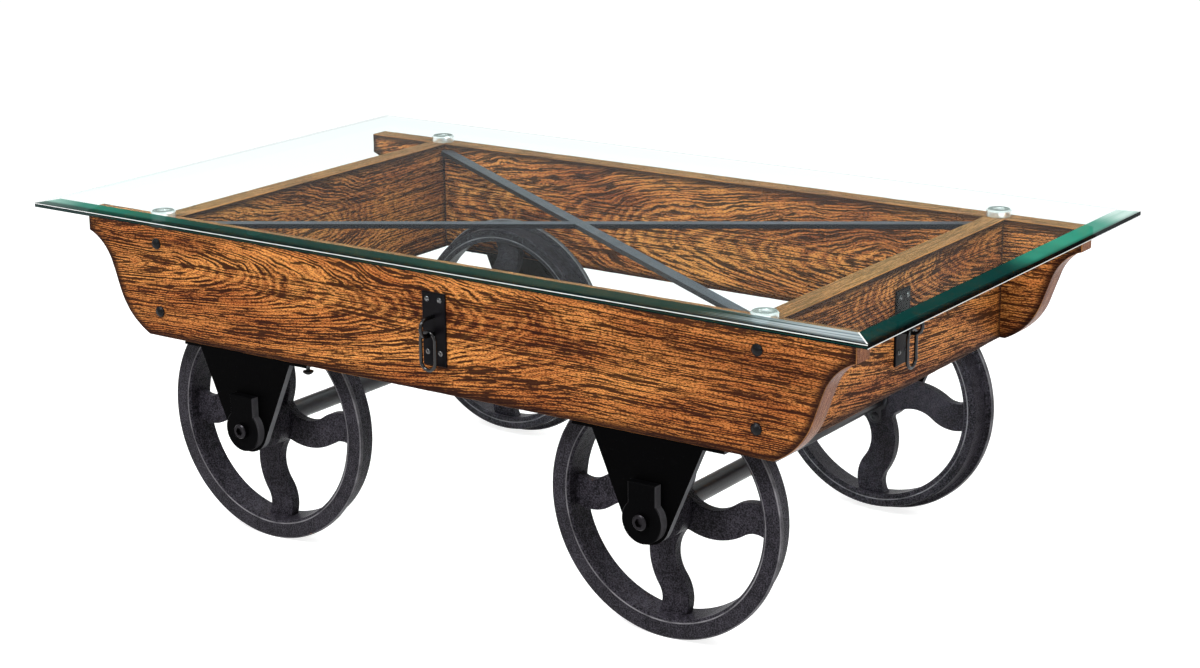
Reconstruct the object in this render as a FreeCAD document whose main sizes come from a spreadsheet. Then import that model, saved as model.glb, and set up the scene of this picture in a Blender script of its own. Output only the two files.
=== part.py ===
import FreeCAD, Part
import math
import os
import types

import Sketcher
from FreeCAD import Placement, Rotation, Vector

# Glass-topped coffee table on four flanged cart wheels.
# Frame: millimetres, +X along the long side, +Y to the back, +Z up.
# The origin is on the floor, under the middle of the table.

SIZES = {
    # Wooden frame
    "board_length": 1138.0,
    "board_height": 153.6,
    "board_thick": 30.5,
    "frame_width": 613.0,
    "frame_underside": 256.4,
    "end_setback": 121.5,
    "board_edge_round": 1.2,
    # Ogee at the ends of the side boards: a cove, a short flat and a round
    "end_face_height": 27.0,
    "cove_run": 38.5,
    "cove_fall": 38.0,
    "cove_radius": 62.4,
    "flat_run": 12.5,
    "flat_fall": 35.0,
    "round_run": 49.0,
    "round_radius": 92.0,
    # Flat steel brace under the glass
    "brace_width": 16.0,
    "brace_thick": 6.0,
    "brace_below_top": 8.5,
    "brace_let_in": 10.0,
    # Corner bolts and their threaded inserts
    "bolt_from_top": 29.7,
    "bolt_from_bottom": 33.8,
    "bolt_head_radius": 7.2,
    "bolt_head_height": 5.2,
    "bolt_head_edge": 1.4,
    "bolt_head_dome_radius": 8.8,
    "bolt_shank_radius": 4.0,
    "bolt_reach": 24.0,
    "insert_radius": 6.0,
    "insert_length": 22.0,
    # Glass top
    "glass_length": 1220.0,
    "glass_width": 719.0,
    "glass_thick": 9.5,
    "glass_edge_height": 5.6,
    "glass_bevel_width": 23.0,
    # Spacers between the frame and the glass
    "spacer_radius": 16.0,
    "spacer_height": 9.0,
    "spacer_chamfer": 2.0,
    "spacer_recess_radius": 7.5,
    "spacer_recess_depth": 4.2,
    "spacer_screw_radius": 2.2,
    "spacer_screw_head_radius": 4.6,
    "spacer_screw_head_height": 2.6,
    "spacer_screw_length": 28.0,
    # Axle hangers
    "wheelbase": 608.0,
    "flange_length": 206.0,
    "flange_thick": 3.2,
    "hanger_top_half_width": 75.0,
    "hanger_thick": 9.0,
    "hanger_eye_radius": 31.0,
    "flange_screw_offset": 92.0,
    "flange_screw_radius": 2.5,
    "flange_screw_length": 32.0,
    "flange_screw_head_radius": 6.8,
    "flange_screw_head_height": 4.8,
    "flange_screw_head_edge": 1.2,
    "flange_screw_dome_radius": 8.3,
    "loose_screw_drop": 8.5,
    # End blocks that clamp the axle
    "block_half_width": 19.0,
    "block_rise": 45.5,
    "block_round_radius": 27.5,
    "block_thick": 11.0,
    "block_edge_chamfer": 1.0,
    "end_bolt_radius": 5.0,
    "end_bolt_reach": 18.0,
    "end_bolt_head_radius": 9.5,
    "end_bolt_head_height": 6.0,
    "end_bolt_head_chamfer": 1.2,
    "end_bolt_socket_radius": 5.6,
    "end_bolt_socket_depth": 4.0,
    # Axles and the collars that space the wheels from the hangers
    "axle_radius": 12.5,
    "journal_radius": 10.0,
    "axle_chamfer": 0.8,
    "axle_hole_depth": 22.0,
    "thrust_collar_radius": 16.0,
    # Wheels
    "flange_radius": 157.0,
    "flange_rim_thick": 7.0,
    "flange_edge_chamfer": 1.4,
    "flange_root_width": 2.8,
    "flange_root_radius": 151.5,
    "tread_radius": 148.5,
    "tread_draft": 1.0,
    "tread_edge_chamfer": 2.0,
    "wheel_width": 37.0,
    "wheel_inset": 34.0,
    "rim_face_radius": 136.5,
    "rim_throat_radius": 133.0,
    "rim_throat_depth": 2.4,
    "rim_inner_radius": 130.0,
    "hub_radius": 32.0,
    "hub_proud": 7.3,
    "hub_chamfer": 1.6,
    "bush_radius": 14.0,
    # S shaped spokes: a bow by the hub runs over into an opposite bow by the rim
    "spoke_thick": 14.0,
    "spoke_depth": 15.0,
    "spoke_width": 35.5,
    "spoke_edge_round": 1.5,
    "hub_bow_reach": 55.5,
    "hub_bow_offset": 50.2,
    "hub_bow_radius": 61.5,
    "rim_bow_reach": 112.0,
    "rim_bow_radius": 31.0,
    "rim_bow_end_share": 0.37,
    "crook_reach": 114.5,
    "crook_radius": 27.0,
    "crook_end_share": 0.58,
    "near_root_share": 0.686,
    "far_root_share": 0.355,
    "root_round_share": 1.0,
    # Keeper plate on the inner face of each hub
    "keeper_ring_radius": 17.5,
    "keeper_half_width": 9.7,
    "keeper_screw_offset": 24.3,
    "keeper_thick": 3.0,
    "keeper_edge_chamfer": 0.6,
    "keeper_screw_radius": 2.5,
    "keeper_screw_length": 14.0,
    "keeper_screw_head_radius": 6.0,
    "keeper_screw_head_height": 3.2,
    "keeper_screw_head_edge": 0.8,
    "keeper_screw_dome_radius": 8.7,
    "keeper_screw_socket_radius": 3.0,
    "keeper_screw_socket_depth": 1.8,
    # Hook plates, staples and links
    "front_hook_shift": 4.4,
    "plate_width": 34.0,
    "plate_height": 90.0,
    "plate_thick": 3.0,
    "plate_corner_chamfer": 0.6,
    "plate_above_underside": 34.6,
    "plate_screw_spacing": 18.8,
    "plate_screw_from_top": 8.4,
    "plate_screw_from_bottom": 16.6,
    "plate_screw_radius": 2.0,
    "plate_screw_length": 18.0,
    "plate_screw_head_radius": 3.5,
    "plate_screw_head_height": 2.4,
    "plate_screw_head_edge": 0.5,
    "plate_screw_dome_radius": 4.2,
    "staple_rod_radius": 2.4,
    "staple_top_height": 61.2,
    "staple_bow_radius": 10.8,
    "staple_reach": 30.5,
    "staple_bite": 14.0,
    "link_rod_radius": 2.25,
    "link_bow_radius": 10.75,
    "link_straight": 25.5,
    "link_stand_off": 15.0,
    # Clearances
    "hole_gap": 0.15,
    "bush_gap": 0.02,
    "running_gap": 0.06,
    "axial_gap": 0.3,
    "link_gap": 0.3,
}

QUARTER_TURN = 90.0
SPOKES = 4
HEXAGON_SIDES = 6


class Size:
    """A length known both as a number and as the expression that binds it to the sheet."""

    def __init__(self, value, text):
        self.value = value
        self.text = text

    def __add__(self, other):
        other = as_size(other)
        return Size(self.value + other.value, f"({self.text} + {other.text})")

    def __sub__(self, other):
        other = as_size(other)
        return Size(self.value - other.value, f"({self.text} - {other.text})")

    def __rsub__(self, other):
        return as_size(other) - self

    def __mul__(self, other):
        other = as_size(other)
        return Size(self.value * other.value, f"({self.text} * {other.text})")

    __radd__ = __add__
    __rmul__ = __mul__

    def __truediv__(self, other):
        other = as_size(other)
        return Size(self.value / other.value, f"({self.text} / {other.text})")

    def __neg__(self):
        return Size(-self.value, f"(-1 * {self.text})")

    def root(self):
        """The square root, for the sides of a triangle."""
        return Size(math.sqrt(self.value), f"sqrt({self.text})")


def as_size(number):
    """A plain number as a size, and a size as it is."""
    if isinstance(number, Size):
        return number
    return Size(float(number), f"{float(number):.10f}")


NOTHING = as_size(0)
size = types.SimpleNamespace(**{name: Size(value, f"Sizes.{name}") for name, value in SIZES.items()})

doc = FreeCAD.newDocument("CartTable")
subparts = []


def write_sheet():
    """Puts every driving size into the spreadsheet under its own alias."""
    sheet = doc.addObject("Spreadsheet::Sheet", "Sizes")
    for row, (name, value) in enumerate(SIZES.items(), start=1):
        sheet.set(f"A{row}", name)
        sheet.set(f"B{row}", str(value))
        sheet.setAlias(f"B{row}", name)
    doc.recompute()


# Bodies and sketches

def new_body(label):
    """An empty body whose label names its file."""
    body = doc.addObject("PartDesign::Body", "Body_" + label)
    body.Label = label
    body.AllowCompound = True
    return body


def place(item, x=NOTHING, y=NOTHING, z=NOTHING, rotation=None):
    """Binds an object's place to the sheet and turns it."""
    item.Placement = Placement(Vector(x.value, y.value, z.value), rotation or Rotation())
    for axis, distance in (("x", x), ("y", y), ("z", z)):
        item.setExpression(f"Placement.Base.{axis}", distance.text)


def keep(item):
    """Marks an object as a sub-part that gets its own file."""
    subparts.append(item)
    return item


def turned(yaw):
    """A turn about the vertical."""
    return Rotation(Vector(0, 0, 1), yaw)


def origin_feature(body, role):
    """One of the body's own origin planes or axes."""
    return next(item for item in body.Origin.OriginFeatures if item.Role == role)


def sketch_on(body, role, offset=NOTHING):
    """A sketch on an origin plane of the body, moved along that plane's normal."""
    sketch = body.newObject("Sketcher::SketchObject", "Sketch")
    sketch.AttachmentSupport = [(origin_feature(body, role), "")]
    sketch.MapMode = "FlatFace"
    sketch.AttachmentOffset = Placement(Vector(0, 0, offset.value), Rotation())
    sketch.setExpression("AttachmentOffset.Base.z", offset.text)
    return sketch


def bind(sketch, constraint, length):
    """Adds a dimension and ties it to the sheet."""
    index = sketch.addConstraint(constraint)
    sketch.setExpression(f"Constraints[{index}]", length.text)


def pin(sketch, geometry, point, x, y):
    """Dimensions a point from the sketch's own origin."""
    bind(sketch, Sketcher.Constraint("DistanceX", -1, 1, geometry, point, x.value), x)
    bind(sketch, Sketcher.Constraint("DistanceY", -1, 1, geometry, point, y.value), y)


def arc_between(start, end, radius, turn, large=False):
    """An arc from start to end: turn is 1 for anticlockwise and -1 for clockwise."""
    chord = end.sub(start)
    half = chord.Length / 2
    side = Vector(-chord.y, chord.x, 0).normalize()
    height = math.sqrt(max(radius * radius - half * half, 0))
    centre = start.add(end).multiply(0.5).add(side.multiply(height * turn * (-1 if large else 1)))
    first, last = (start, end) if turn > 0 else (end, start)
    angles = [math.atan2(point.y - centre.y, point.x - centre.x) for point in (first, last)]
    return Part.ArcOfCircle(Part.Circle(centre, Vector(0, 0, 1), radius), *angles)


def outline(sketch, corners, arcs=None, closed=True):
    """Draws lines and arcs from corner to corner, each corner and each radius tied to the sheet.

    arcs maps a side's number to its radius, its turn and, for more than half a circle, True.
    """
    arcs = arcs or {}
    sides = len(corners) if closed else len(corners) - 1
    points = [Vector(x.value, y.value, 0) for x, y in corners]
    starts, ends = [], []
    for side in range(sides):
        start, end = points[side], points[(side + 1) % len(points)]
        if side in arcs:
            radius, turn, *large = arcs[side]
            index = sketch.addGeometry(arc_between(start, end, radius.value, turn, bool(large)))
            starts.append((index, 1 if turn > 0 else 2))
            ends.append((index, 2 if turn > 0 else 1))
        else:
            index = sketch.addGeometry(Part.LineSegment(start, end))
            starts.append((index, 1))
            ends.append((index, 2))
    for side in range(sides if closed else sides - 1):
        sketch.addConstraint(Sketcher.Constraint("Coincident", *ends[side], *starts[(side + 1) % sides]))
    for corner, (geometry, point) in zip(corners, starts):
        pin(sketch, geometry, point, *corner)
    if not closed:
        pin(sketch, *ends[-1], *corners[-1])
    for side, (radius, *_) in arcs.items():
        geometry = starts[side][0]
        chord = points[(side + 1) % len(points)].sub(points[side])
        if not math.isclose(chord.Length, 2 * radius.value):
            bind(sketch, Sketcher.Constraint("Radius", geometry, radius.value), radius)
            continue
        # The centre of a half circle lies level with its ends
        way, level = ("DistanceX", 0) if abs(chord.y) > abs(chord.x) else ("DistanceY", 1)
        height = corners[side][level]
        bind(sketch, Sketcher.Constraint(way, -1, 1, geometry, 3, height.value), height)


def circles(sketch, centres, radius):
    """Circles of one radius at the given places."""
    for x, y in centres:
        index = sketch.addGeometry(Part.Circle(Vector(x.value, y.value, 0), Vector(0, 0, 1), radius.value))
        pin(sketch, index, 3, x, y)
        bind(sketch, Sketcher.Constraint("Radius", index, radius.value), radius)


def hexagon(sketch, radius):
    """A hexagon about the sketch's origin, its corners at the given radius."""
    angles = [2 * math.pi * side / HEXAGON_SIDES for side in range(HEXAGON_SIDES)]
    outline(sketch, [(radius * math.cos(angle), radius * math.sin(angle)) for angle in angles])


def pad(body, sketch, length, backwards=False):
    """Extrudes a sketch along its normal, or against it."""
    feature = body.newObject("PartDesign::Pad", "Pad")
    feature.Profile = sketch
    feature.Length = length.value
    feature.setExpression("Length", length.text)
    feature.Reversed = backwards
    return feature


def pocket(body, sketch, depth, forwards=False):
    """Cuts a sketch into the solid, against its normal, or along it."""
    before = solid_volume(body)
    feature = body.newObject("PartDesign::Pocket", "Pocket")
    feature.Profile = sketch
    feature.Length = depth.value
    feature.setExpression("Length", depth.text)
    feature.Reversed = forwards
    if solid_volume(body) >= before:
        raise ValueError(f"a pocket of {body.Label} cuts nothing")
    return feature


def solid_volume(body):
    """The body's volume after a recompute."""
    doc.recompute()
    return body.Shape.Volume


def revolve(body, role, corners, arcs=None):
    """Turns a profile about its sketch's vertical axis: the corners are radius and height."""
    sketch = sketch_on(body, role)
    outline(sketch, corners, arcs)
    feature = body.newObject("PartDesign::Revolution", "Revolution")
    feature.Profile = sketch
    feature.ReferenceAxis = (sketch, ["V_Axis"])
    feature.Angle = 360
    return feature


def pipe(body, path, edges, profile):
    """Sweeps a profile along a path."""
    feature = body.newObject("PartDesign::AdditivePipe", "Pipe")
    feature.Profile = profile
    feature.Spine = (path, edges)
    return feature


def dress(body, kind, base, edges, length):
    """A fillet or chamfer of one size on the named edges."""
    feature = body.newObject(f"PartDesign::{kind}", kind)
    feature.Base = (base, edges)
    measure = "Radius" if kind == "Fillet" else "Size"
    setattr(feature, measure, length.value)
    feature.setExpression(measure, length.text)
    return feature


def edges_at(shape, level, within=math.inf):
    """The names of the edges at one level along Y, with their middles nearer to the axis than within."""
    names = []
    for number, edge in enumerate(shape.Edges, start=1):
        middle = edge.valueAt((edge.FirstParameter + edge.LastParameter) / 2)
        points = [middle] + [vertex.Point for vertex in edge.Vertexes]
        flat = all(abs(point.y - level.value) < size.hole_gap.value for point in points)
        if flat and math.hypot(middle.x, middle.z) < within:
            names.append(f"Edge{number}")
    return names


def group(label, source, places):
    """A node of several equal solids: links to one source, each in its own place."""
    links = []
    for number, (x, y, z, rotation) in enumerate(places, start=1):
        link = doc.addObject("App::Link", f"{label}_{number}")
        link.LinkedObject = source
        place(link, x, y, z, rotation)
        links.append(link)
    compound = doc.addObject("Part::Compound", "Group_" + label)
    compound.Label = label
    compound.Links = links
    return keep(compound)


# Places that several pieces share

half_width = size.frame_width / 2
half_length = size.board_length / 2
frame_top = size.frame_underside + size.board_height
end_board_x = half_length - size.end_setback
inner_half_length = end_board_x - size.board_thick / 2
inner_half_width = half_width - size.board_thick
wheel_x = size.wheelbase / 2
wheel_z = size.flange_radius
wheel_y = half_width - size.wheel_inset
bolt_rows = (size.bolt_from_bottom, size.board_height - size.bolt_from_top)
hub_back = size.spoke_depth + size.spoke_thick
diagonal = (inner_half_length * inner_half_length + inner_half_width * inner_half_width).root()

# Sides: name, place of the hook plate on the floor plan, and turn from the front side
SIDES = (
    ("front", size.front_hook_shift, -half_width, 0.0),
    ("right", end_board_x + size.board_thick / 2, NOTHING, QUARTER_TURN),
    ("back", NOTHING, half_width, 2 * QUARTER_TURN),
    ("left", -(end_board_x + size.board_thick / 2), NOTHING, -QUARTER_TURN),
)
# Corners: name, sign along X, sign along Y, and turn from the front side
CORNERS = (
    ("front_left", -1, -1, 0.0),
    ("front_right", 1, -1, 0.0),
    ("back_left", -1, 1, 2 * QUARTER_TURN),
    ("back_right", 1, 1, 2 * QUARTER_TURN),
)


def hook_holes(shift=NOTHING):
    """Places on a board's outer face, from the middle of its lower edge, of the holes behind a hook plate."""
    bottom = size.plate_above_underside
    half = size.plate_screw_spacing / 2
    rows = (bottom + size.plate_screw_from_bottom, bottom + size.plate_height - size.plate_screw_from_top)
    screws = [(shift + sign * half, row) for sign in (-1, 1) for row in rows]
    top = bottom + size.staple_top_height
    legs = [(shift, top), (shift, top - 2 * size.staple_bow_radius)]
    return screws, legs


# Wooden frame

def side_board(label, y, yaw, hook_shift=NOTHING):
    """A side board in its own frame: the outer face is at y = -board_thick, the lower edge at z = 0."""
    body = new_body(label)
    top_of_cove = size.board_height - size.end_face_height
    foot_of_cove = top_of_cove - size.cove_fall
    top_of_round = foot_of_cove - size.flat_fall
    cove_x = half_length - size.cove_run
    round_x = cove_x - size.flat_run
    foot_x = round_x - size.round_run
    right = [(foot_x, NOTHING), (round_x, top_of_round), (cove_x, foot_of_cove), (half_length, top_of_cove)]
    right.append((half_length, size.board_height))
    left = [(-x, height) for x, height in reversed(right)]
    profile = sketch_on(body, "XZ_Plane")
    outline(profile, right + left, {
        0: (size.round_radius, 1), 2: (size.cove_radius, -1),
        6: (size.cove_radius, -1), 8: (size.round_radius, 1)})
    board = pad(body, profile, size.board_thick)
    doc.recompute()
    every_edge = [f"Edge{number}" for number in range(1, len(board.Shape.Edges) + 1)]
    dress(body, "Fillet", board, every_edge, size.board_edge_round)

    bolt_holes = sketch_on(body, "XZ_Plane", size.board_thick)
    places = [(sign * end_board_x, row) for sign in (-1, 1) for row in bolt_rows]
    circles(bolt_holes, places, size.bolt_shank_radius + size.hole_gap)
    pocket(body, bolt_holes, size.board_thick)

    pilot_holes = sketch_on(body, "XZ_Plane", size.board_thick)
    screws, legs = hook_holes(hook_shift)
    circles(pilot_holes, screws, size.plate_screw_radius + size.hole_gap)
    circles(pilot_holes, legs, size.staple_rod_radius + size.hole_gap)
    pocket(body, pilot_holes, size.plate_screw_length)

    flange_holes = sketch_on(body, "XY_Plane")
    places = [(side * wheel_x + sign * size.flange_screw_offset, -size.board_thick / 2)
              for side in (-1, 1) for sign in (-1, 1)]
    circles(flange_holes, places, size.flange_screw_radius + size.hole_gap)
    pocket(body, flange_holes, size.flange_screw_length, forwards=True)

    spacer_holes = sketch_on(body, "XY_Plane", size.board_height)
    places = [(sign * end_board_x, -size.board_thick / 2) for sign in (-1, 1)]
    circles(spacer_holes, places, size.spacer_screw_radius + size.hole_gap)
    pocket(body, spacer_holes, size.spacer_screw_length)
    brace_mortises(body, inner_half_length, inner_half_width)
    place(body, NOTHING, y, size.frame_underside, turned(yaw))
    return keep(body)


def end_board(label, x, yaw):
    """An end board in its own frame: the outer face is at y = -board_thick, the lower edge at z = 0."""
    body = new_body(label)
    profile = sketch_on(body, "XZ_Plane")
    half = inner_half_width
    outline(profile, [(-half, NOTHING), (half, NOTHING), (half, size.board_height), (-half, size.board_height)])
    board = pad(body, profile, size.board_thick)
    doc.recompute()
    dress(body, "Fillet", board, edges_along_x(board.Shape), size.board_edge_round)
    for role_offset, forwards in ((half, False), (-half, True)):
        insert_holes = sketch_on(body, "YZ_Plane", role_offset)
        places = [(-size.board_thick / 2, row) for row in bolt_rows]
        circles(insert_holes, places, size.insert_radius + size.hole_gap)
        pocket(body, insert_holes, size.bolt_reach, forwards=forwards)
    pilot_holes = sketch_on(body, "XZ_Plane", size.board_thick)
    screws, legs = hook_holes()
    circles(pilot_holes, screws, size.plate_screw_radius + size.hole_gap)
    circles(pilot_holes, legs, size.staple_rod_radius + size.hole_gap)
    pocket(body, pilot_holes, size.plate_screw_length)
    brace_mortises(body, inner_half_width, inner_half_length)
    place(body, x, NOTHING, size.frame_underside, turned(yaw))
    return keep(body)


def edges_along_x(shape):
    """The names of the straight edges that run along X."""
    names = []
    for number, edge in enumerate(shape.Edges, start=1):
        run = edge.Vertexes[-1].Point.sub(edge.Vertexes[0].Point)
        if abs(run.x) > abs(run.y) + abs(run.z):
            names.append(f"Edge{number}")
    return names


def wooden_frame():
    """The four boards."""
    side_board("front_side_board", -inner_half_width, 0.0, size.front_hook_shift)
    side_board("back_side_board", inner_half_width, 2 * QUARTER_TURN)
    end_board("left_end_board", -inner_half_length, -QUARTER_TURN)
    end_board("right_end_board", inner_half_length, QUARTER_TURN)


# Brace

def diagonal_bar(run, rise, reach, half, middle=NOTHING):
    """The corners of a bar along the diagonal (run, rise) of a rectangle about (0, middle)."""
    along = (run / diagonal, rise / diagonal)
    across = (-along[1], along[0])
    corners = []
    for forward, sideways in ((-reach, -half), (reach, -half), (reach, half), (-reach, half)):
        x = along[0] * forward + across[0] * sideways
        y = along[1] * forward + across[1] * sideways
        corners.append((x, middle + y))
    return corners


def brace_bar(label, turn, notch_on_top):
    """One diagonal bar, halved into the other where they cross."""
    body = new_body(label)
    reach = diagonal + size.brace_let_in
    half = size.brace_width / 2
    profile = sketch_on(body, "XY_Plane")
    outline(profile, diagonal_bar(inner_half_length, turn * inner_half_width, reach, half))
    pad(body, profile, size.brace_thick)
    notch = sketch_on(body, "XY_Plane", size.brace_thick if notch_on_top else NOTHING)
    outline(notch, diagonal_bar(inner_half_length, -turn * inner_half_width, reach, half))
    pocket(body, notch, size.brace_thick / 2, forwards=not notch_on_top)
    place(body, NOTHING, NOTHING, frame_top - size.brace_below_top - size.brace_thick)
    return keep(body)


def brace():
    """The two bars: the long bar keeps its top face whole at the crossing."""
    brace_bar("long_brace_bar", -1, notch_on_top=False)
    brace_bar("cross_brace_bar", 1, notch_on_top=True)


def brace_mortises(body, run, rise):
    """Blind mortises for the bars' ends in a board whose inner face is y = 0."""
    level = size.board_height - size.brace_below_top - size.brace_thick
    reach = diagonal + size.brace_let_in + size.hole_gap
    half = size.brace_width / 2 + size.hole_gap
    for turn in (-1, 1):
        mortise = sketch_on(body, "XY_Plane", level)
        outline(mortise, diagonal_bar(run, turn * rise, reach, half, middle=rise))
        pocket(body, mortise, size.brace_thick + size.hole_gap, forwards=True)


# Corner fasteners

def corner_bolt():
    """A round-headed bolt on the Y axis: its head stands towards -Y from y = 0."""
    body = new_body("corner_bolt")
    shank = size.board_thick + size.bolt_reach - size.hole_gap
    head = size.bolt_head_radius
    revolve(body, "XY_Plane", [
        (NOTHING, -size.bolt_head_height), (head, -size.bolt_head_edge), (head, NOTHING),
        (size.bolt_shank_radius, NOTHING), (size.bolt_shank_radius, shank), (NOTHING, shank)],
        {0: (size.bolt_head_dome_radius, 1)})
    return body


def bolt_insert():
    """A threaded sleeve in the end grain, from y = 0 inwards."""
    body = new_body("bolt_insert")
    inner = size.bolt_shank_radius + size.hole_gap
    revolve(body, "XY_Plane", [
        (inner, NOTHING), (size.insert_radius, NOTHING),
        (size.insert_radius, size.insert_length), (inner, size.insert_length)])
    return body


def corner_fasteners():
    """Two bolts and two inserts at each corner of the frame."""
    bolt, insert = corner_bolt(), bolt_insert()
    bolts, inserts = [], []
    for _, side, end, yaw in CORNERS:
        for row in bolt_rows:
            level = size.frame_underside + row
            bolts.append((side * end_board_x, end * half_width, level, turned(yaw)))
            inserts.append((side * end_board_x, end * inner_half_width, level, turned(yaw)))
    group("corner_bolts", bolt, bolts)
    group("bolt_inserts", insert, inserts)


# Glass and its spacers

def glass_top():
    """A flat sheet with a wide bevel round its upper side."""
    body = new_body("glass_top")

    def rectangle(level, inset):
        sketch = sketch_on(body, "XY_Plane", level)
        x = size.glass_length / 2 - inset
        y = size.glass_width / 2 - inset
        outline(sketch, [(-x, -y), (x, -y), (x, y), (-x, y)])
        return sketch

    pad(body, rectangle(NOTHING, NOTHING), size.glass_edge_height)
    bevel = body.newObject("PartDesign::AdditiveLoft", "Bevel")
    bevel.Profile = rectangle(size.glass_edge_height, NOTHING)
    bevel.Sections = [rectangle(size.glass_thick, size.glass_bevel_width)]
    bevel.Ruled = True
    place(body, NOTHING, NOTHING, frame_top + size.spacer_height)
    return keep(body)


def glass_spacer(label, side, end):
    """A round metal spacer with a chamfered rim and a recess for its screw."""
    body = new_body(label)
    bore = size.spacer_screw_radius + size.hole_gap
    floor = size.spacer_height - size.spacer_recess_depth
    revolve(body, "XZ_Plane", [
        (bore, NOTHING), (size.spacer_radius, NOTHING),
        (size.spacer_radius, size.spacer_height - size.spacer_chamfer),
        (size.spacer_radius - size.spacer_chamfer, size.spacer_height),
        (size.spacer_recess_radius, size.spacer_height), (size.spacer_recess_radius, floor), (bore, floor)])
    place(body, side * end_board_x, end * (half_width - size.board_thick / 2), frame_top)
    return keep(body)


def spacer_screw():
    """A pan-head screw on the Z axis: the underside of its head is at z = 0."""
    body = new_body("spacer_screw")
    head = size.spacer_screw_head_radius
    shank = size.spacer_screw_length - size.spacer_height + size.spacer_recess_depth
    revolve(body, "XZ_Plane", [
        (NOTHING, -shank), (size.spacer_screw_radius, -shank), (size.spacer_screw_radius, NOTHING),
        (head, NOTHING), (head, size.spacer_screw_head_height / 2),
        (head / 2, size.spacer_screw_head_height), (NOTHING, size.spacer_screw_head_height)])
    return body


def glass_and_spacers():
    """The glass lies on four spacers, each screwed down into a side board."""
    glass_top()
    screw = spacer_screw()
    seat = frame_top + size.spacer_height - size.spacer_recess_depth
    places = []
    for name, side, end, yaw in CORNERS:
        glass_spacer("glass_spacer_" + name, side, end)
        places.append((side * end_board_x, end * (half_width - size.board_thick / 2), seat, turned(yaw)))
    group("spacer_screws", screw, places)


# Axle hangers and end blocks

def axle_hanger(label, side, end, yaw):
    """A V shaped plate under a flange, in its own frame: the axle's centre is the origin.

    The plate's front face is at y = 0 and the plate reaches back to y = hanger_thick.
    """
    body = new_body(label)
    top = size.frame_underside - wheel_z
    under = top - size.flange_thick
    plate = sketch_on(body, "XZ_Plane", -size.hanger_thick)
    reach = math.hypot(size.hanger_top_half_width.value, under.value)
    lean = math.atan2(under.value, size.hanger_top_half_width.value)
    touch = lean - math.acos(size.hanger_eye_radius.value / reach)
    contact = Vector(math.cos(touch), math.sin(touch), 0).multiply(size.hanger_eye_radius.value)
    mirrored = Vector(-contact.x, contact.y, 0)
    right_top = Vector(size.hanger_top_half_width.value, under.value, 0)
    left_top = Vector(-right_top.x, right_top.y, 0)
    right_side = plate.addGeometry(Part.LineSegment(contact, right_top))
    across = plate.addGeometry(Part.LineSegment(right_top, left_top))
    left_side = plate.addGeometry(Part.LineSegment(left_top, mirrored))
    eye = Part.Circle(Vector(0, 0, 0), Vector(0, 0, 1), size.hanger_eye_radius.value)
    bottom = plate.addGeometry(Part.ArcOfCircle(eye, -math.pi - touch, touch))
    plate.addConstraint(Sketcher.Constraint("Coincident", right_side, 2, across, 1))
    plate.addConstraint(Sketcher.Constraint("Coincident", across, 2, left_side, 1))
    plate.addConstraint(Sketcher.Constraint("Tangent", left_side, 2, bottom, 1))
    plate.addConstraint(Sketcher.Constraint("Tangent", bottom, 2, right_side, 1))
    plate.addConstraint(Sketcher.Constraint("Coincident", bottom, 3, -1, 1))
    bind(plate, Sketcher.Constraint("Radius", bottom, size.hanger_eye_radius.value), size.hanger_eye_radius)
    pin(plate, across, 1, size.hanger_top_half_width, under)
    pin(plate, across, 2, -size.hanger_top_half_width, under)
    pad(body, plate, size.hanger_thick)

    flange = sketch_on(body, "XY_Plane", under)
    half = size.flange_length / 2
    outline(flange, [(-half, NOTHING), (half, NOTHING), (half, size.board_thick), (-half, size.board_thick)])
    pad(body, flange, size.flange_thick)

    bore = sketch_on(body, "XZ_Plane")
    circles(bore, [(NOTHING, NOTHING)], size.journal_radius + size.hole_gap)
    pocket(body, bore, size.hanger_thick)
    screw_holes = sketch_on(body, "XY_Plane", top)
    places = [(sign * size.flange_screw_offset, size.board_thick / 2) for sign in (-1, 1)]
    circles(screw_holes, places, size.flange_screw_radius + size.hole_gap)
    pocket(body, screw_holes, size.flange_thick)
    place(body, side * wheel_x, end * half_width, wheel_z, turned(yaw))
    return keep(body)


def flange_screw():
    """A dome-headed screw on the Z axis, head down: the top of its head is at z = 0."""
    body = new_body("flange_screw")
    shank = size.flange_screw_length + size.flange_thick - size.hole_gap
    head = size.flange_screw_head_radius
    revolve(body, "XZ_Plane", [
        (NOTHING, -size.flange_screw_head_height), (head, -size.flange_screw_head_edge), (head, NOTHING),
        (size.flange_screw_radius, NOTHING), (size.flange_screw_radius, shank), (NOTHING, shank)],
        {0: (size.flange_screw_dome_radius, 1)})
    return body


def end_block(label, side, end, yaw):
    """A block with a flat top and a round foot, in front of the axle's end."""
    body = new_body(label)
    half = size.block_half_width
    shoulder = (size.block_round_radius * size.block_round_radius - half * half).root()
    profile = sketch_on(body, "XZ_Plane")
    outline(profile, [(half, shoulder), (half, size.block_rise), (-half, size.block_rise), (-half, shoulder)],
            {3: (size.block_round_radius, 1, True)})
    block = pad(body, profile, size.block_thick)
    doc.recompute()
    dress(body, "Chamfer", block, edges_at(block.Shape, -size.block_thick), size.block_edge_chamfer)
    hole = sketch_on(body, "XZ_Plane", size.block_thick)
    circles(hole, [(NOTHING, NOTHING)], size.end_bolt_radius + size.hole_gap)
    pocket(body, hole, size.block_thick)
    place(body, side * wheel_x, end * half_width, wheel_z, turned(yaw))
    return keep(body)


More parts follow.
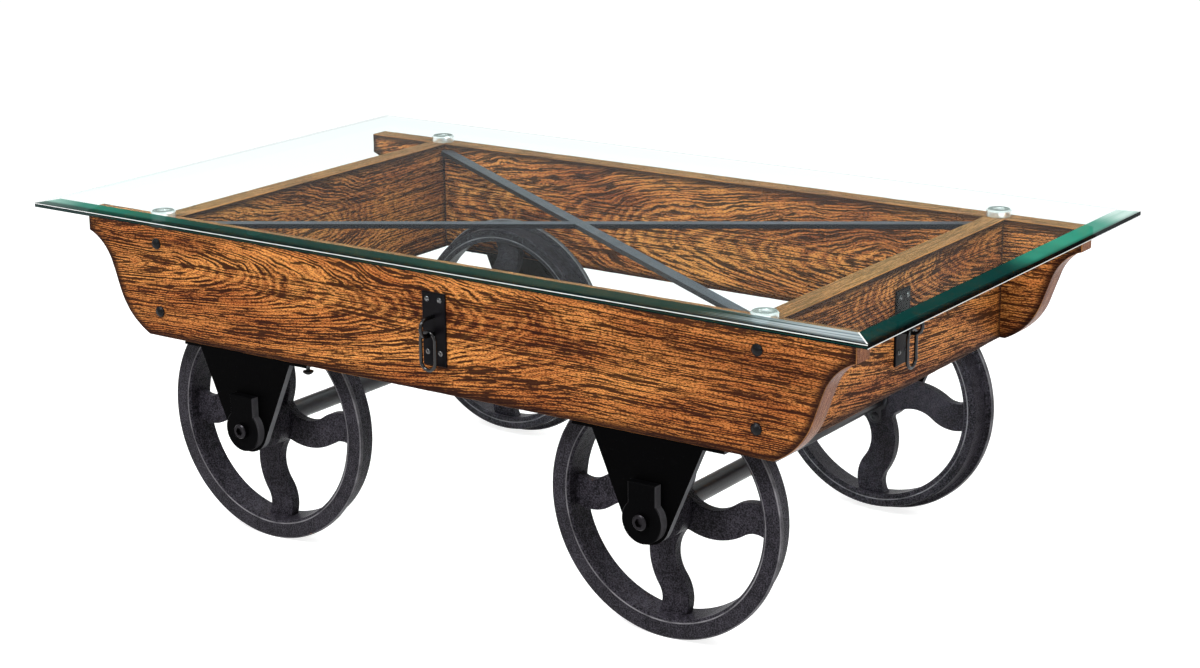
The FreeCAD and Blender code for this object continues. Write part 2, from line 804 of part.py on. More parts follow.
def end_bolt():
    """A socket-head bolt on the Y axis: the underside of its head is at y = 0."""
    body = new_body("end_bolt")
    shank = size.block_thick + size.end_bolt_reach
    head = size.end_bolt_head_radius
    face = -size.end_bolt_head_height
    revolve(body, "XY_Plane", [
        (NOTHING, face), (head - size.end_bolt_head_chamfer, face), (head, face + size.end_bolt_head_chamfer),
        (head, NOTHING), (size.end_bolt_radius, NOTHING), (size.end_bolt_radius, shank), (NOTHING, shank)])
    socket = sketch_on(body, "XZ_Plane", size.end_bolt_head_height)
    hexagon(socket, size.end_bolt_socket_radius)
    pocket(body, socket, size.end_bolt_socket_depth)
    return body


# Axles

def axle(label, side):
    """A round bar on the Y axis, turned down to a journal at each end and drilled for the end bolts."""
    body = new_body(label)
    hole = size.end_bolt_radius + size.hole_gap
    floor = half_width - size.axle_hole_depth
    chamfer = size.axle_chamfer
    thin = size.journal_radius
    thick = size.axle_radius
    shoulder = wheel_y - hub_back - size.keeper_thick - size.axial_gap
    half = [
        (thick, shoulder - chamfer), (thick - chamfer, shoulder), (thin, shoulder),
        (thin, half_width - chamfer), (thin - chamfer, half_width), (hole, half_width),
        (hole, floor), (NOTHING, floor)]
    revolve(body, "XY_Plane", half + [(radius, -along) for radius, along in reversed(half)])
    place(body, side * wheel_x, NOTHING, wheel_z)
    return keep(body)


def thrust_collar():
    """A sleeve on the journal from y = 0, between the hanger's plate and the wheel's hub."""
    body = new_body("thrust_collar")
    length = size.wheel_inset - size.hub_proud - size.hanger_thick - size.axial_gap
    inner = size.journal_radius + size.hole_gap
    outer = size.thrust_collar_radius
    revolve(body, "XY_Plane", [(inner, NOTHING), (outer, NOTHING), (outer, length), (inner, length)])
    return body


def running_gear():
    """Hangers, blocks, axles and what holds them."""
    flange, bolt, collar = flange_screw(), end_bolt(), thrust_collar()
    axle("left_axle", -1)
    axle("right_axle", 1)
    flange_screws, end_bolts, collars = [], [], []
    for name, side, end, yaw in CORNERS:
        axle_hanger("axle_hanger_" + name, side, end, yaw)
        end_block("end_block_" + name, side, end, yaw)
        x = side * wheel_x
        turn = turned(yaw)
        for sign in (-1, 1):
            y = end * (half_width - size.board_thick / 2)
            under = size.frame_underside - size.flange_thick
            # One screw of the front left hanger has worked loose
            if name == "front_left" and sign == 1:
                under = under - size.loose_screw_drop
            flange_screws.append((x + sign * size.flange_screw_offset, y, under, turn))
        end_bolts.append((x, end * (half_width + size.block_thick), wheel_z, turn))
        collars.append((x, end * (half_width - size.hanger_thick), wheel_z, turn))
    group("flange_screws", flange, flange_screws)
    group("end_bolts", bolt, end_bolts)
    group("thrust_collars", collar, collars)


# Wheels

def rim(body):
    """The flanged rim's section, turned about the axle: y = 0 is the flange's outer face."""
    outer = size.flange_radius
    chamfer = size.flange_edge_chamfer
    root = size.flange_rim_thick + size.flange_root_width
    width = size.wheel_width
    edge = size.tread_edge_chamfer
    tread_end = size.tread_radius - size.tread_draft
    revolve(body, "XY_Plane", [
        (size.rim_face_radius, NOTHING), (outer - chamfer, NOTHING), (outer, chamfer),
        (outer, size.flange_rim_thick - chamfer), (outer - chamfer, size.flange_rim_thick),
        (size.flange_root_radius, size.flange_rim_thick + size.tread_draft), (size.tread_radius, root),
        (tread_end, width - edge), (tread_end - edge, width), (size.rim_inner_radius + edge, width),
        (size.rim_inner_radius, width - edge), (size.rim_throat_radius, size.rim_throat_depth)])


def hub(body):
    """The hub, level with the spokes at the back."""
    outer = size.hub_radius
    front = -size.hub_proud
    revolve(body, "XY_Plane", [
        (NOTHING, front), (outer - size.hub_chamfer, front), (outer, front + size.hub_chamfer),
        (outer, hub_back), (NOTHING, hub_back)])


def spoke_side(side, end_radius, end_reach, root_share, end_share):
    """One long side of the spoke along +X: where it leaves the hub, turns over and meets the rim.

    side is -1 on the hollow side of the bow by the hub and 1 on the full side. Returns the three
    corners and the radius of the arc from the first to the second.
    """
    radius = size.hub_bow_radius + side * size.spoke_width / 2
    centre_x, centre_y = size.hub_bow_reach, size.hub_bow_offset
    run = end_reach - centre_x
    span = radius + end_radius
    fall = (span * span - run * run).root()
    root_x = centre_x - root_share * radius
    root_y = centre_y - radius * (1 - root_share * root_share).root()
    turn_x = centre_x + run * radius / span
    turn_y = centre_y - fall * radius / span
    end_x = end_reach + end_share * end_radius
    end_y = centre_y - fall + end_radius * (1 - end_share * end_share).root()
    return [(root_x, root_y), (turn_x, turn_y), (end_x, end_y)], radius


def window_outline():
    """The window between the spoke along +X and the next one: its corners and its arcs."""
    rim_bow = size.rim_bow_radius + size.spoke_width / 2
    near, near_bow = spoke_side(
        -1, rim_bow, size.rim_bow_reach, size.near_root_share, size.rim_bow_end_share)
    far, far_bow = spoke_side(
        1, size.crook_radius, size.crook_reach, size.far_root_share, size.crook_end_share)
    beyond = size.flange_radius
    next_side = [(-y, x) for x, y in reversed(far)]
    corners = near + [(beyond, near[-1][1]), (beyond, beyond), (next_side[0][0], beyond)] + next_side
    across = next_side[-1][0] - near[0][0]
    along = next_side[-1][1] - near[0][1]
    root_round = size.root_round_share * (across * across + along * along).root()
    arcs = {0: (near_bow, 1), 1: (rim_bow, -1), 6: (size.crook_radius, 1), 7: (far_bow, -1), 8: (root_round, 1)}
    return corners, arcs


def web(body):
    """A disc with a window between each spoke and the next, the windows' edges rounded."""
    radius = (size.rim_inner_radius + size.tread_radius) / 2
    disc = sketch_on(body, "XZ_Plane", -hub_back)
    circles(disc, [(NOTHING, NOTHING)], radius)
    pad(body, disc, size.spoke_thick)
    opening = sketch_on(body, "XZ_Plane", -hub_back)
    outline(opening, *window_outline())
    window = pocket(body, opening, size.spoke_thick, forwards=True)
    windows = body.newObject("PartDesign::PolarPattern", "Windows")
    windows.Originals = [window]
    windows.Axis = (origin_feature(body, "Y_Axis"), [""])
    windows.Angle = 360
    windows.Occurrences = SPOKES
    body.Tip = windows
    doc.recompute()
    rounded = windows
    for level in (size.spoke_depth, hub_back):
        edges = edges_at(rounded.Shape, level, size.rim_inner_radius.value)
        rounded = dress(body, "Fillet", rounded, edges, size.spoke_edge_round)
        doc.recompute()


def wheel(label, side, end, yaw):
    """A cast wheel with a flange, a flat tread, a hub and four flat S shaped spokes."""
    body = new_body(label)
    web(body)
    rim(body)
    hub(body)
    holes = sketch_on(body, "XZ_Plane", -hub_back)
    circles(holes, keeper_screw_places(), size.keeper_screw_radius + size.hole_gap)
    pocket(body, holes, size.keeper_screw_length, forwards=True)
    bore = sketch_on(body, "XZ_Plane", -hub_back)
    circles(bore, [(NOTHING, NOTHING)], size.bush_radius + size.bush_gap)
    pocket(body, bore, hub_back + size.hub_proud, forwards=True)
    place(body, side * wheel_x, end * wheel_y, wheel_z, turned(yaw))
    return keep(body)


def hub_bush(label, side, end, yaw):
    """A plain bush in the hub that runs on the journal."""
    body = new_body(label)
    inner = size.journal_radius + size.running_gap
    outer = size.bush_radius
    revolve(body, "XY_Plane", [
        (inner, -size.hub_proud), (outer, -size.hub_proud), (outer, hub_back), (inner, hub_back)])
    place(body, side * wheel_x, end * wheel_y, wheel_z, turned(yaw))
    return keep(body)


def keeper_screw_places():
    """Places of the keeper plate's two screws about the axle."""
    return [(NOTHING, sign * size.keeper_screw_offset) for sign in (-1, 1)]


def hub_keeper(label, side, end, yaw):
    """A ring with two tabs, screwed to the back of the hub to hold its bush."""
    body = new_body(label)
    level = -(hub_back + size.keeper_thick)
    ring = sketch_on(body, "XZ_Plane", level)
    circles(ring, [(NOTHING, NOTHING)], size.keeper_ring_radius)
    pad(body, ring, size.keeper_thick)
    tabs = sketch_on(body, "XZ_Plane", level)
    half = size.keeper_half_width
    reach = size.keeper_screw_offset
    outline(tabs, [(half, -reach), (half, reach), (-half, reach), (-half, -reach)],
            {1: (half, 1), 3: (half, 1)})
    both = pad(body, tabs, size.keeper_thick)
    doc.recompute()
    face_edges = edges_at(both.Shape, hub_back + size.keeper_thick)
    dress(body, "Chamfer", both, face_edges, size.keeper_edge_chamfer)
    holes = sketch_on(body, "XZ_Plane", -hub_back)
    circles(holes, [(NOTHING, NOTHING)], size.journal_radius + size.axial_gap)
    circles(holes, keeper_screw_places(), size.keeper_screw_radius + size.hole_gap)
    pocket(body, holes, size.keeper_thick)
    place(body, side * wheel_x, end * wheel_y, wheel_z, turned(yaw))
    return keep(body)


def keeper_screw():
    """A button-headed screw on the Y axis: the underside of its head is at y = 0."""
    body = new_body("keeper_screw")
    shank = size.keeper_screw_length + size.keeper_thick - size.hole_gap
    head = size.keeper_screw_head_radius
    revolve(body, "XY_Plane", [
        (NOTHING, -size.keeper_screw_head_height), (head, -size.keeper_screw_head_edge), (head, NOTHING),
        (size.keeper_screw_radius, NOTHING), (size.keeper_screw_radius, shank), (NOTHING, shank)],
        {0: (size.keeper_screw_dome_radius, 1)})
    socket = sketch_on(body, "XZ_Plane", size.keeper_screw_head_height)
    hexagon(socket, size.keeper_screw_socket_radius)
    pocket(body, socket, size.keeper_screw_socket_depth)
    return body


def wheels():
    """Four wheels, each with its bush and keeper plate, flange outwards."""
    screw = keeper_screw()
    for name, side, end, yaw in CORNERS:
        wheel("wheel_" + name, side, end, yaw)
        hub_bush("hub_bush_" + name, side, end, yaw)
        hub_keeper("hub_keeper_" + name, side, end, yaw)
        y = end * (wheel_y - hub_back - size.keeper_thick)
        places = [(side * wheel_x, y, wheel_z + up, turned(yaw + 2 * QUARTER_TURN))
                  for _, up in keeper_screw_places()]
        group("keeper_screws_" + name, screw, places)


# Hook plates, staples and links

def hook_plate(label, x, y, yaw):
    """A flat plate on a board, in its own frame: the board's face is y = 0, the plate's foot z = 0."""
    body = new_body(label)
    half = size.plate_width / 2
    profile = sketch_on(body, "XZ_Plane")
    outline(profile, [(-half, NOTHING), (half, NOTHING), (half, size.plate_height), (-half, size.plate_height)])
    plate = pad(body, profile, size.plate_thick)
    doc.recompute()
    dress(body, "Chamfer", plate, edges_at(plate.Shape, -size.plate_thick), size.plate_corner_chamfer)
    holes = sketch_on(body, "XZ_Plane", size.plate_thick)
    screws, legs = hook_holes()
    lower = size.plate_above_underside
    circles(holes, [(across, up - lower) for across, up in screws], size.plate_screw_radius + size.hole_gap)
    circles(holes, [(across, up - lower) for across, up in legs], size.staple_rod_radius + size.hole_gap)
    pocket(body, holes, size.plate_thick)
    place(body, x, y, size.frame_underside + lower, turned(yaw))
    return keep(body)


def staple(label, x, y, yaw):
    """A round bar bent to a U that lies on its side, both legs driven into the board."""
    body = new_body(label)
    top = size.staple_top_height
    bow = size.staple_bow_radius
    low = top - 2 * bow
    bend = -(size.staple_reach - size.staple_rod_radius - bow)
    path = sketch_on(body, "YZ_Plane")
    outline(path, [(size.staple_bite, top), (bend, top), (bend, low), (size.staple_bite, low)],
            {1: (bow, 1)}, closed=False)
    profile = sketch_on(body, "XZ_Plane", -size.staple_bite)
    circles(profile, [(NOTHING, top)], size.staple_rod_radius)
    doc.recompute()
    pipe(body, path, ["Edge1", "Edge2", "Edge3"], profile)
    place(body, x, y, size.frame_underside + size.plate_above_underside, turned(yaw))
    return keep(body)


def hook_link(label, x, y, yaw):
    """An oval link that hangs on the staple's lower leg."""
    body = new_body(label)
    bow = size.link_bow_radius
    leg = size.staple_top_height - 2 * size.staple_bow_radius
    crown = leg + size.staple_rod_radius + size.link_gap + size.link_rod_radius
    top = crown - bow
    low = top - size.link_straight
    path = sketch_on(body, "XZ_Plane", size.link_stand_off)
    outline(path, [(bow, low), (bow, top), (-bow, top), (-bow, low)], {1: (bow, 1), 3: (bow, 1)})
    profile = sketch_on(body, "XY_Plane", low)
    circles(profile, [(bow, -size.link_stand_off)], size.link_rod_radius)
    doc.recompute()
    pipe(body, path, ["Edge1", "Edge2", "Edge3", "Edge4"], profile)
    place(body, x, y, size.frame_underside + size.plate_above_underside, turned(yaw))
    return keep(body)


def plate_screw():
    """A round-head screw on the Y axis: the underside of its head is at y = 0."""
    body = new_body("plate_screw")
    shank = size.plate_screw_length + size.plate_thick - size.hole_gap
    head = size.plate_screw_head_radius
    revolve(body, "XY_Plane", [
        (NOTHING, -size.plate_screw_head_height), (head, -size.plate_screw_head_edge), (head, NOTHING),
        (size.plate_screw_radius, NOTHING), (size.plate_screw_radius, shank), (NOTHING, shank)],
        {0: (size.plate_screw_dome_radius, 1)})
    return body


def hooks():
    """A plate with its staple, link and four screws in the middle of each side."""
    screw = plate_screw()
    places = []
    screws, _ = hook_holes()
    for name, x, y, yaw in SIDES:
        hook_plate("hook_plate_" + name, x, y, yaw)
        staple("hook_staple_" + name, x, y, yaw)
        hook_link("hook_link_" + name, x, y, yaw)
        cosine = round(math.cos(math.radians(yaw)))
        sine = round(math.sin(math.radians(yaw)))
        for across, up in screws:
            out = -size.plate_thick
            screw_x = x + cosine * across - sine * out
            screw_y = y + sine * across + cosine * out
            places.append((screw_x, screw_y, size.frame_underside + up, turned(yaw)))
    group("plate_screws", screw, places)


def check_document():
    """Stops if any object has failed or any sub-part has no sound solid."""
    doc.recompute()
    for item in doc.Objects:
        if "Invalid" in item.State or "Error" in item.State:
            raise ValueError(f"{item.Label} of {item.TypeId} failed: {item.State}")
    for item in subparts:
        shape = item.Shape
        if shape.isNull() or not shape.isValid() or not shape.Solids:
            raise ValueError(f"{item.Label} has no sound solid")


def write_parts():
    """Writes each sub-part to the file that its label names."""
    os.makedirs("parts", exist_ok=True)
    for item in subparts:
        item.Shape.exportStep(f"parts/{item.Label}.step")
        print(f"{item.Label}: {len(item.Shape.Solids)} solids, {item.Shape.Volume / 1000:.1f} cm3")


write_sheet()
wooden_frame()
brace()
corner_fasteners()
glass_and_spacers()
running_gear()
wheels()
hooks()
check_document()
write_parts()
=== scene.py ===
import logging
import math
from dataclasses import dataclass
from enum import Enum
from functools import reduce
from typing import Optional, Sequence, Union

import bmesh
import bpy
from mathutils import Matrix, Vector, noise


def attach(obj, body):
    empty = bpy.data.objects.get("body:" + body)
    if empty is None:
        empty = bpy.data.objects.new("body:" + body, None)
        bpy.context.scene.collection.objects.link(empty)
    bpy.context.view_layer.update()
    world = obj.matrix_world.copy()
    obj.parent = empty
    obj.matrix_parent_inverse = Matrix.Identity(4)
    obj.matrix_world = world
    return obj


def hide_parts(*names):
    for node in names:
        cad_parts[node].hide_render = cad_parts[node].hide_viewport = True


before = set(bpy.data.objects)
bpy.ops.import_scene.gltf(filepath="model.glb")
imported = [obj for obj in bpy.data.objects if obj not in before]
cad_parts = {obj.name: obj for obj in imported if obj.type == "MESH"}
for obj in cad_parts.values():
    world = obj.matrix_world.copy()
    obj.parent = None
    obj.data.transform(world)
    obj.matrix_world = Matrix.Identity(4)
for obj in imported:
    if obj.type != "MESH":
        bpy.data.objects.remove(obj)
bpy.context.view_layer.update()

LOG = logging.getLogger("cart_table")
CART = "cart_frame"
CORNERS = ("front_left", "front_right", "back_left", "back_right")
SIDES = ("front", "right", "back", "left")
WHITE = (1.0, 1.0, 1.0)

# The middle value of every noise
MEAN = 0.5

Colour = tuple[float, float, float]
Place = tuple[float, float, float]
Scale = tuple[float, float, float]
Range = tuple[float, float]
Point = tuple[float, float]
Number = Union[float, "Signal"]
Places = Sequence["Signal"]
Mesh = bmesh.types.BMesh
Vertex = bmesh.types.BMVert
Owner = Union[bpy.types.Material, bpy.types.World]


class Axis(Enum):
    """The direction along which a board's grain runs, as its turn about the vertical."""

    LONG = 0.0
    CROSS = math.pi / 2


class HighlightFaces(Enum):
    """Which faces of a painted piece carry a painted highlight, as the part of a face's normal that tells."""

    SIDEWAYS = 0
    LEVEL = 2


# Shader trees


class Signal:
    """A value in a material's tree, on which Python's operators add Math nodes."""

    def __init__(self, graph: "Graph", socket: bpy.types.NodeSocket) -> None:
        """Wraps an output socket of a graph."""
        self.graph = graph
        self.socket = socket

    def __add__(self, other: Number) -> "Signal":
        """self + other."""
        return self.graph.math("ADD", self, other)

    def __radd__(self, other: Number) -> "Signal":
        """other + self."""
        return self.graph.math("ADD", other, self)

    def __sub__(self, other: Number) -> "Signal":
        """self - other."""
        return self.graph.math("SUBTRACT", self, other)

    def __rsub__(self, other: Number) -> "Signal":
        """other - self."""
        return self.graph.math("SUBTRACT", other, self)

    def __mul__(self, other: Number) -> "Signal":
        """self * other."""
        return self.graph.math("MULTIPLY", self, other)

    def __rmul__(self, other: Number) -> "Signal":
        """other * self."""
        return self.graph.math("MULTIPLY", other, self)

    def __truediv__(self, other: Number) -> "Signal":
        """self / other."""
        return self.graph.math("DIVIDE", self, other)

    def __pow__(self, other: Number) -> "Signal":
        """self ** other."""
        return self.graph.math("POWER", self, other)

    def __abs__(self) -> "Signal":
        """abs(self)."""
        return self.graph.math("ABSOLUTE", self)

    def least(self, other: Number) -> "Signal":
        """The lesser of two values."""
        return self.graph.math("MINIMUM", self, other)

    def most(self, other: Number) -> "Signal":
        """The greater of two values."""
        return self.graph.math("MAXIMUM", self, other)


class Graph:
    """The node tree of one material or world."""

    def __init__(self, owner: Owner) -> None:
        """Empties the owner's tree, ready for new nodes.

        Args:
            owner: The material or world.
        """
        owner.use_nodes = True
        self.owner = owner
        self.tree = owner.node_tree
        self.tree.nodes.clear()

    def node(self, kind: str, settings: Optional[dict] = None,
             sockets: Optional[dict] = None) -> bpy.types.Node:
        """Adds any node.

        Args:
            kind: The node's type name.
            settings: Properties, set before the sockets; "stops" holds a ramp's (place, colour) pairs.
            sockets: Values or signals by input name or number.

        Returns:
            The new node.
        """
        made = self.tree.nodes.new(kind)
        for key, value in (settings or {}).items():
            if key == "stops":
                self._set_stops(made.color_ramp, value)
            else:
                setattr(made, key, value)
        for key, value in (sockets or {}).items():
            target = made.inputs[key]
            if isinstance(value, Signal):
                self.tree.links.new(value.socket, target)
            elif target.type == "RGBA" and len(value) == 3:
                target.default_value = (*value, 1.0)
            else:
                target.default_value = value
        return made

    @staticmethod
    def _set_stops(ramp: bpy.types.ColorRamp, stops: list[tuple[float, Colour]]) -> None:
        """Gives a colour ramp its stops.

        Args:
            ramp: The ramp, which starts with two stops.
            stops: Pairs of a place from 0 to 1 and a colour.
        """
        while len(ramp.elements) < len(stops):
            ramp.elements.new(0.5)
        for element, (place, colour) in zip(ramp.elements, stops):
            element.position = place
            element.color = (*colour, 1.0)

    def out(self, node: bpy.types.Node, key: Union[int, str] = 0) -> Signal:
        """The signal of one of a node's outputs."""
        return Signal(self, node.outputs[key])

    def math(self, operation: str, *values: Number) -> Signal:
        """One Math node on one to three values."""
        return self.out(self.node("ShaderNodeMath", {"operation": operation}, dict(enumerate(values))))

    def smooth(self, value: Signal, low: float, high: float) -> Signal:
        """A soft step over a value.

        Args:
            value: The value.
            low: Where the step is 0.
            high: Where it is 1, which may be below low.

        Returns:
            The step, from 0 to 1.
        """
        return self.out(self.node(
            "ShaderNodeMapRange", {"interpolation_type": "SMOOTHSTEP"},
            {"Value": value, "From Min": low, "From Max": high}))

    def place(self, centre: Place = (0.0, 0.0, 0.0), turn: float = 0.0) -> Signal:
        """Object coordinates in a piece's own frame.

        Args:
            centre: The frame's origin.
            turn: The frame's turn about the vertical, after which X runs along the piece.

        Returns:
            The coordinates as a vector.
        """
        coordinates = self.node("ShaderNodeTexCoord")
        moved = self.node(
            "ShaderNodeMapping", {"vector_type": "TEXTURE"},
            {"Vector": self.out(coordinates, "Object"), "Location": centre, "Rotation": (0.0, 0.0, turn)})
        return self.out(moved)

    def split(self, vector: Signal) -> list[Signal]:
        """The three numbers of a vector."""
        node = self.node("ShaderNodeSeparateXYZ", None, {0: vector})
        return [self.out(node, index) for index in range(3)]

    def join(self, x: Number, y: Number, z: Number) -> Signal:
        """A vector of three numbers."""
        return self.out(self.node("ShaderNodeCombineXYZ", None, {0: x, 1: y, 2: z}))

    def noise(self, vector: Signal, scale: float = 1.0, detail: float = 2.0,
              roughness: float = 0.5) -> Signal:
        """Fractal noise.

        Args:
            vector: The place.
            scale: How many times the noise changes in a metre.
            detail: How many finer layers are added.
            roughness: How much each finer layer counts.

        Returns:
            The noise, about 0.5.
        """
        return self.out(self.node(
            "ShaderNodeTexNoise", {"noise_dimensions": "3D"},
            {"Vector": vector, "Scale": scale, "Detail": detail, "Roughness": roughness}))

    def drawn(self, places: Places, scale: Scale, detail: float = 2.0, shift: float = 0.0) -> Signal:
        """Noise about 0.5, with a scale for each direction and a shift along the first."""
        x, y, z = (place * size for place, size in zip(places, scale))
        return self.noise(self.join(x + shift if shift else x, y, z), detail=detail)

    def attribute(self, name: str) -> Signal:
        """A number kept on the mesh's vertices."""
        return self.out(self.node("ShaderNodeAttribute", {"attribute_name": name}), "Fac")

    def blend(self, factor: Number, low: Union[Colour, Signal], high: Union[Colour, Signal]) -> Signal:
        """Mixes two colours: low at factor 0, high at factor 1."""
        return self.out(self.node("ShaderNodeMix", {"data_type": "RGBA"}, {0: factor, 6: low, 7: high}), 2)

    def mix_shaders(self, factor: Signal, low: Signal, high: Signal) -> Signal:
        """Mixes two shaders: low at factor 0, high at factor 1."""
        return self.out(self.node("ShaderNodeMixShader", None, {0: factor, 1: low, 2: high}))

    def ramp(self, factor: Signal, stops: list[tuple[float, Colour]]) -> Signal:
        """A colour ramp over a value from 0 to 1."""
        return self.out(self.node("ShaderNodeValToRGB", {"stops": stops}, {0: factor}))

    def bump(self, height: Signal, distance: float, strength: float = 1.0) -> Signal:
        """A normal bent by a height, whose full range stands for a distance in metres."""
        return self.out(self.node(
            "ShaderNodeBump", None, {"Height": height, "Distance": distance, "Strength": strength}))

    def principled(self, sockets: dict) -> Signal:
        """A Principled shader with the given sockets."""
        return self.out(self.node("ShaderNodeBsdfPrincipled", None, sockets))

    def finish(self, surface: Signal) -> Owner:
        """Links the surface to the tree's output.

        Args:
            surface: The last shader.

        Returns:
            The tree's owner.
        """
        target = "World" if isinstance(self.owner, bpy.types.World) else "Material"
        self.node("ShaderNodeOutput" + target, None, {"Surface": surface})
        return self.owner


def new_graph(name: str) -> Graph:
    """The empty tree of a new material."""
    return Graph(bpy.data.materials.new(name))


def between(share: Number, low: Number, high: Number) -> Signal:
    """A value in between: low at share 0, high at share 1."""
    return low + (high - low) * share


def rise(value: Signal, least: float, gain: float) -> Signal:
    """A straight line over a value: the least, plus the gain times the value."""
    return least + value * gain


def weigh(first: Signal, second: Signal, mix: Scale) -> Signal:
    """Two values, each times its share, plus a constant."""
    return first * mix[0] + second * mix[1] + mix[2]


# Finishes


@dataclass(frozen=True)
class Grain:
    """What a board's timber holds at each point, from which its colour is mixed."""

    dash: Signal
    density: Signal
    fine: Signal
    cloud: Signal
    end: Signal
    top: Signal
    edge: Signal


@dataclass(frozen=True)
class Timber:
    """Open-grained brown timber under a satin lacquer, cut as a board with arched figure.

    The rings are curved sheets about a pith line that slopes through the board, so every face shows the
    same figure as a real board does. The pores are dark lines and dashes along the grain, dense in each
    ring's early wood. Towards one end the arches give way to straight grain.

    A scale has a number for each of the three places that its noise is laid over. A reach says how far, in
    metres, a noise moves the height over the pith, the depth behind it and the level in the board. A mix has
    two shares and a constant, a line its least value and its gain.
    """

    name: str
    centre: Place
    axis: Axis = Axis.LONG
    pith_height: float = 0.018
    pith_depth: float = 0.085
    pith_slope: float = 0.13
    straight_from: float = 0.02
    straight_to: float = 0.34
    seed: float = 0.0
    ring_width: float = 0.0026
    fineness: float = 0.77
    curl_scale: Scale = (11.0, 16.0, 26.0)
    curl_reach: Scale = (0.012, 0.014, 0.005)
    sway_scale: Scale = (2.2, 2.0, 2.5)
    sway_reach: Scale = (0.035, 0.03, 0.02)
    sway_along: float = 0.3
    follow_range: Range = (0.20, 0.60)
    follow_depth: float = 0.12
    line_scale: Scale = (9.0, 820.0, 820.0)
    dash_scale: Scale = (48.0, 1150.0, 1150.0)
    dash_shift: float = 3.0
    line_mix: Scale = (0.85, 0.65, -0.25)
    end_scale: Scale = (60.0, 800.0, 60.0)
    ripple_scale: Scale = (6.0, 90.0, 5.0)
    ripple_turns: float = 1.6
    band_scale: Scale = (2.6, 66.0, 4.0)
    curved_mix: Scale = (0.50, 0.9, -0.20)
    flat_ring_scale: Scale = (3.0, 260.0, 260.0)
    flat_band_scale: Scale = (2.6, 62.0, 50.0)
    flat_mix: Scale = (0.8, 0.5, -0.15)
    fine_scale: Scale = (300.0, 1200.0, 1200.0)
    cloud_scale: Scale = (5.0, 16.0, 8.0)
    crowding: float = 0.08
    pore_range: Range = (0.515, 0.480)
    speck_range: Range = (0.48, 0.43)
    speck_share: float = 0.7
    end_calm: float = 0.35
    tone_shares: Scale = (0.9, 0.5, 0.6)
    tone_drop: float = 0.50
    tone_stops: Scale = (0.20, 0.46, 0.76)
    pore_strength: float = 0.94
    # Painted shade on the top faces, stronger where the cloud is high.
    painted_top_shade_line: Range = (0.30, 0.6)
    end_deepening: float = 0.35
    # Painted shade along the edges of each face, weaker on the shaped ends and the tops.
    edge_shade_cloud: float = 0.5
    edge_shade_dash: float = 0.6
    edge_shade_range: Range = (0.10, 0.85)
    edge_shade_strength: float = 0.92
    edge_shade_off_end: float = 0.6
    edge_shade_off_top: float = 0.9
    # Lighter along the arrises: wear and a painted highlight.
    rub_and_highlight_range: Range = (0.93, 0.97)
    rub_and_highlight_cloud_range: Range = (0.40, 0.55)
    rub_and_highlight_strength: float = 0.5
    roughness: float = 0.40
    pore_roughness: float = 0.2
    pore_depth: float = 0.0003
    gloss: float = 0.04
    coat: float = 0.03
    end_coat: float = 0.22
    coat_roughness: float = 0.14
    bright: Colour = (0.74, 0.300, 0.076)
    warm: Colour = (0.42, 0.131, 0.032)
    deep: Colour = (0.17, 0.031, 0.008)
    pore: Colour = (0.012, 0.0032, 0.0020)
    # The colour of the painted shade on the top faces.
    painted_top_shade: Colour = (0.19, 0.100, 0.033)

    def material(self) -> bpy.types.Material:
        """Builds the material.

        Returns:
            The board's material, read in the board's own frame.
        """
        graph = new_graph(self.name)
        grain = self.grain(graph)
        pores = self.pores(graph, grain)
        surface = graph.principled({
            "Base Color": self.wood(graph, grain, pores),
            "Roughness": self.roughness + pores * self.pore_roughness,
            "Normal": graph.bump(1.0 - pores, self.pore_depth, strength=0.5),
            "Specular IOR Level": self.gloss,
            "Coat Weight": self.coat + grain.end * self.end_coat,
            "Coat Roughness": self.coat_roughness})
        return graph.finish(surface)

    def grain(self, graph: Graph) -> Grain:
        """Lays rings, lines and clouds through the board.

        Args:
            graph: The tree to build in.

        Returns:
            The grain's values at each point.
        """
        x, y, z = graph.split(graph.place(self.centre, self.axis.value))
        along = x + self.seed
        curl = graph.drawn((along, y, z), self.curl_scale) - MEAN
        sway = graph.drawn((along, y, z), self.sway_scale, detail=1.0) - MEAN
        height = z - self.pith_height + sway * self.sway_reach[0] + curl * self.curl_reach[0]
        depth = y + self.pith_depth + x * self.pith_slope
        depth = depth + sway * self.sway_reach[1] + curl * self.curl_reach[1]
        radius = (height * height + depth * depth) ** 0.5
        level = z + curl * self.curl_reach[2] + sway * self.sway_reach[2]
        arched = 1.0 - graph.smooth(x + sway * self.sway_along, self.straight_from, self.straight_to)
        follow = graph.smooth(abs(height) / radius, *self.follow_range) * arched
        end, top, edge = (graph.attribute(name) for name in ("end", "top", "edge"))
        straight = (along, level, y)
        across = self.lines(graph, straight)
        round_pith = self.lines(graph, (along, radius, y * self.follow_depth))
        up_the_end = graph.drawn((x, y, z), self.end_scale, shift=self.seed)
        flat = self.flat_density(graph, straight)
        density = between(arched, flat, self.curved_density(graph, (along, radius, y)))
        return Grain(
            dash=between(end, between(follow, across, round_pith), up_the_end),
            density=between(end, density, MEAN),
            fine=graph.drawn(straight, self.fined(self.fine_scale), detail=1.0),
            cloud=graph.drawn((along, z, y), self.cloud_scale, detail=3.0),
            end=end, top=top, edge=edge)

    def fined(self, scale: Scale) -> Scale:
        """A scale with the board's own fineness across the grain."""
        return scale[0], scale[1] * self.fineness, scale[2] * self.fineness

    def lines(self, graph: Graph, places: Places) -> Signal:
        """Long lines and short dashes drawn out along the grain, about 0.5."""
        dash = graph.drawn(places, self.fined(self.dash_scale), shift=self.dash_shift)
        return weigh(graph.drawn(places, self.fined(self.line_scale), detail=3.0), dash, self.line_mix)

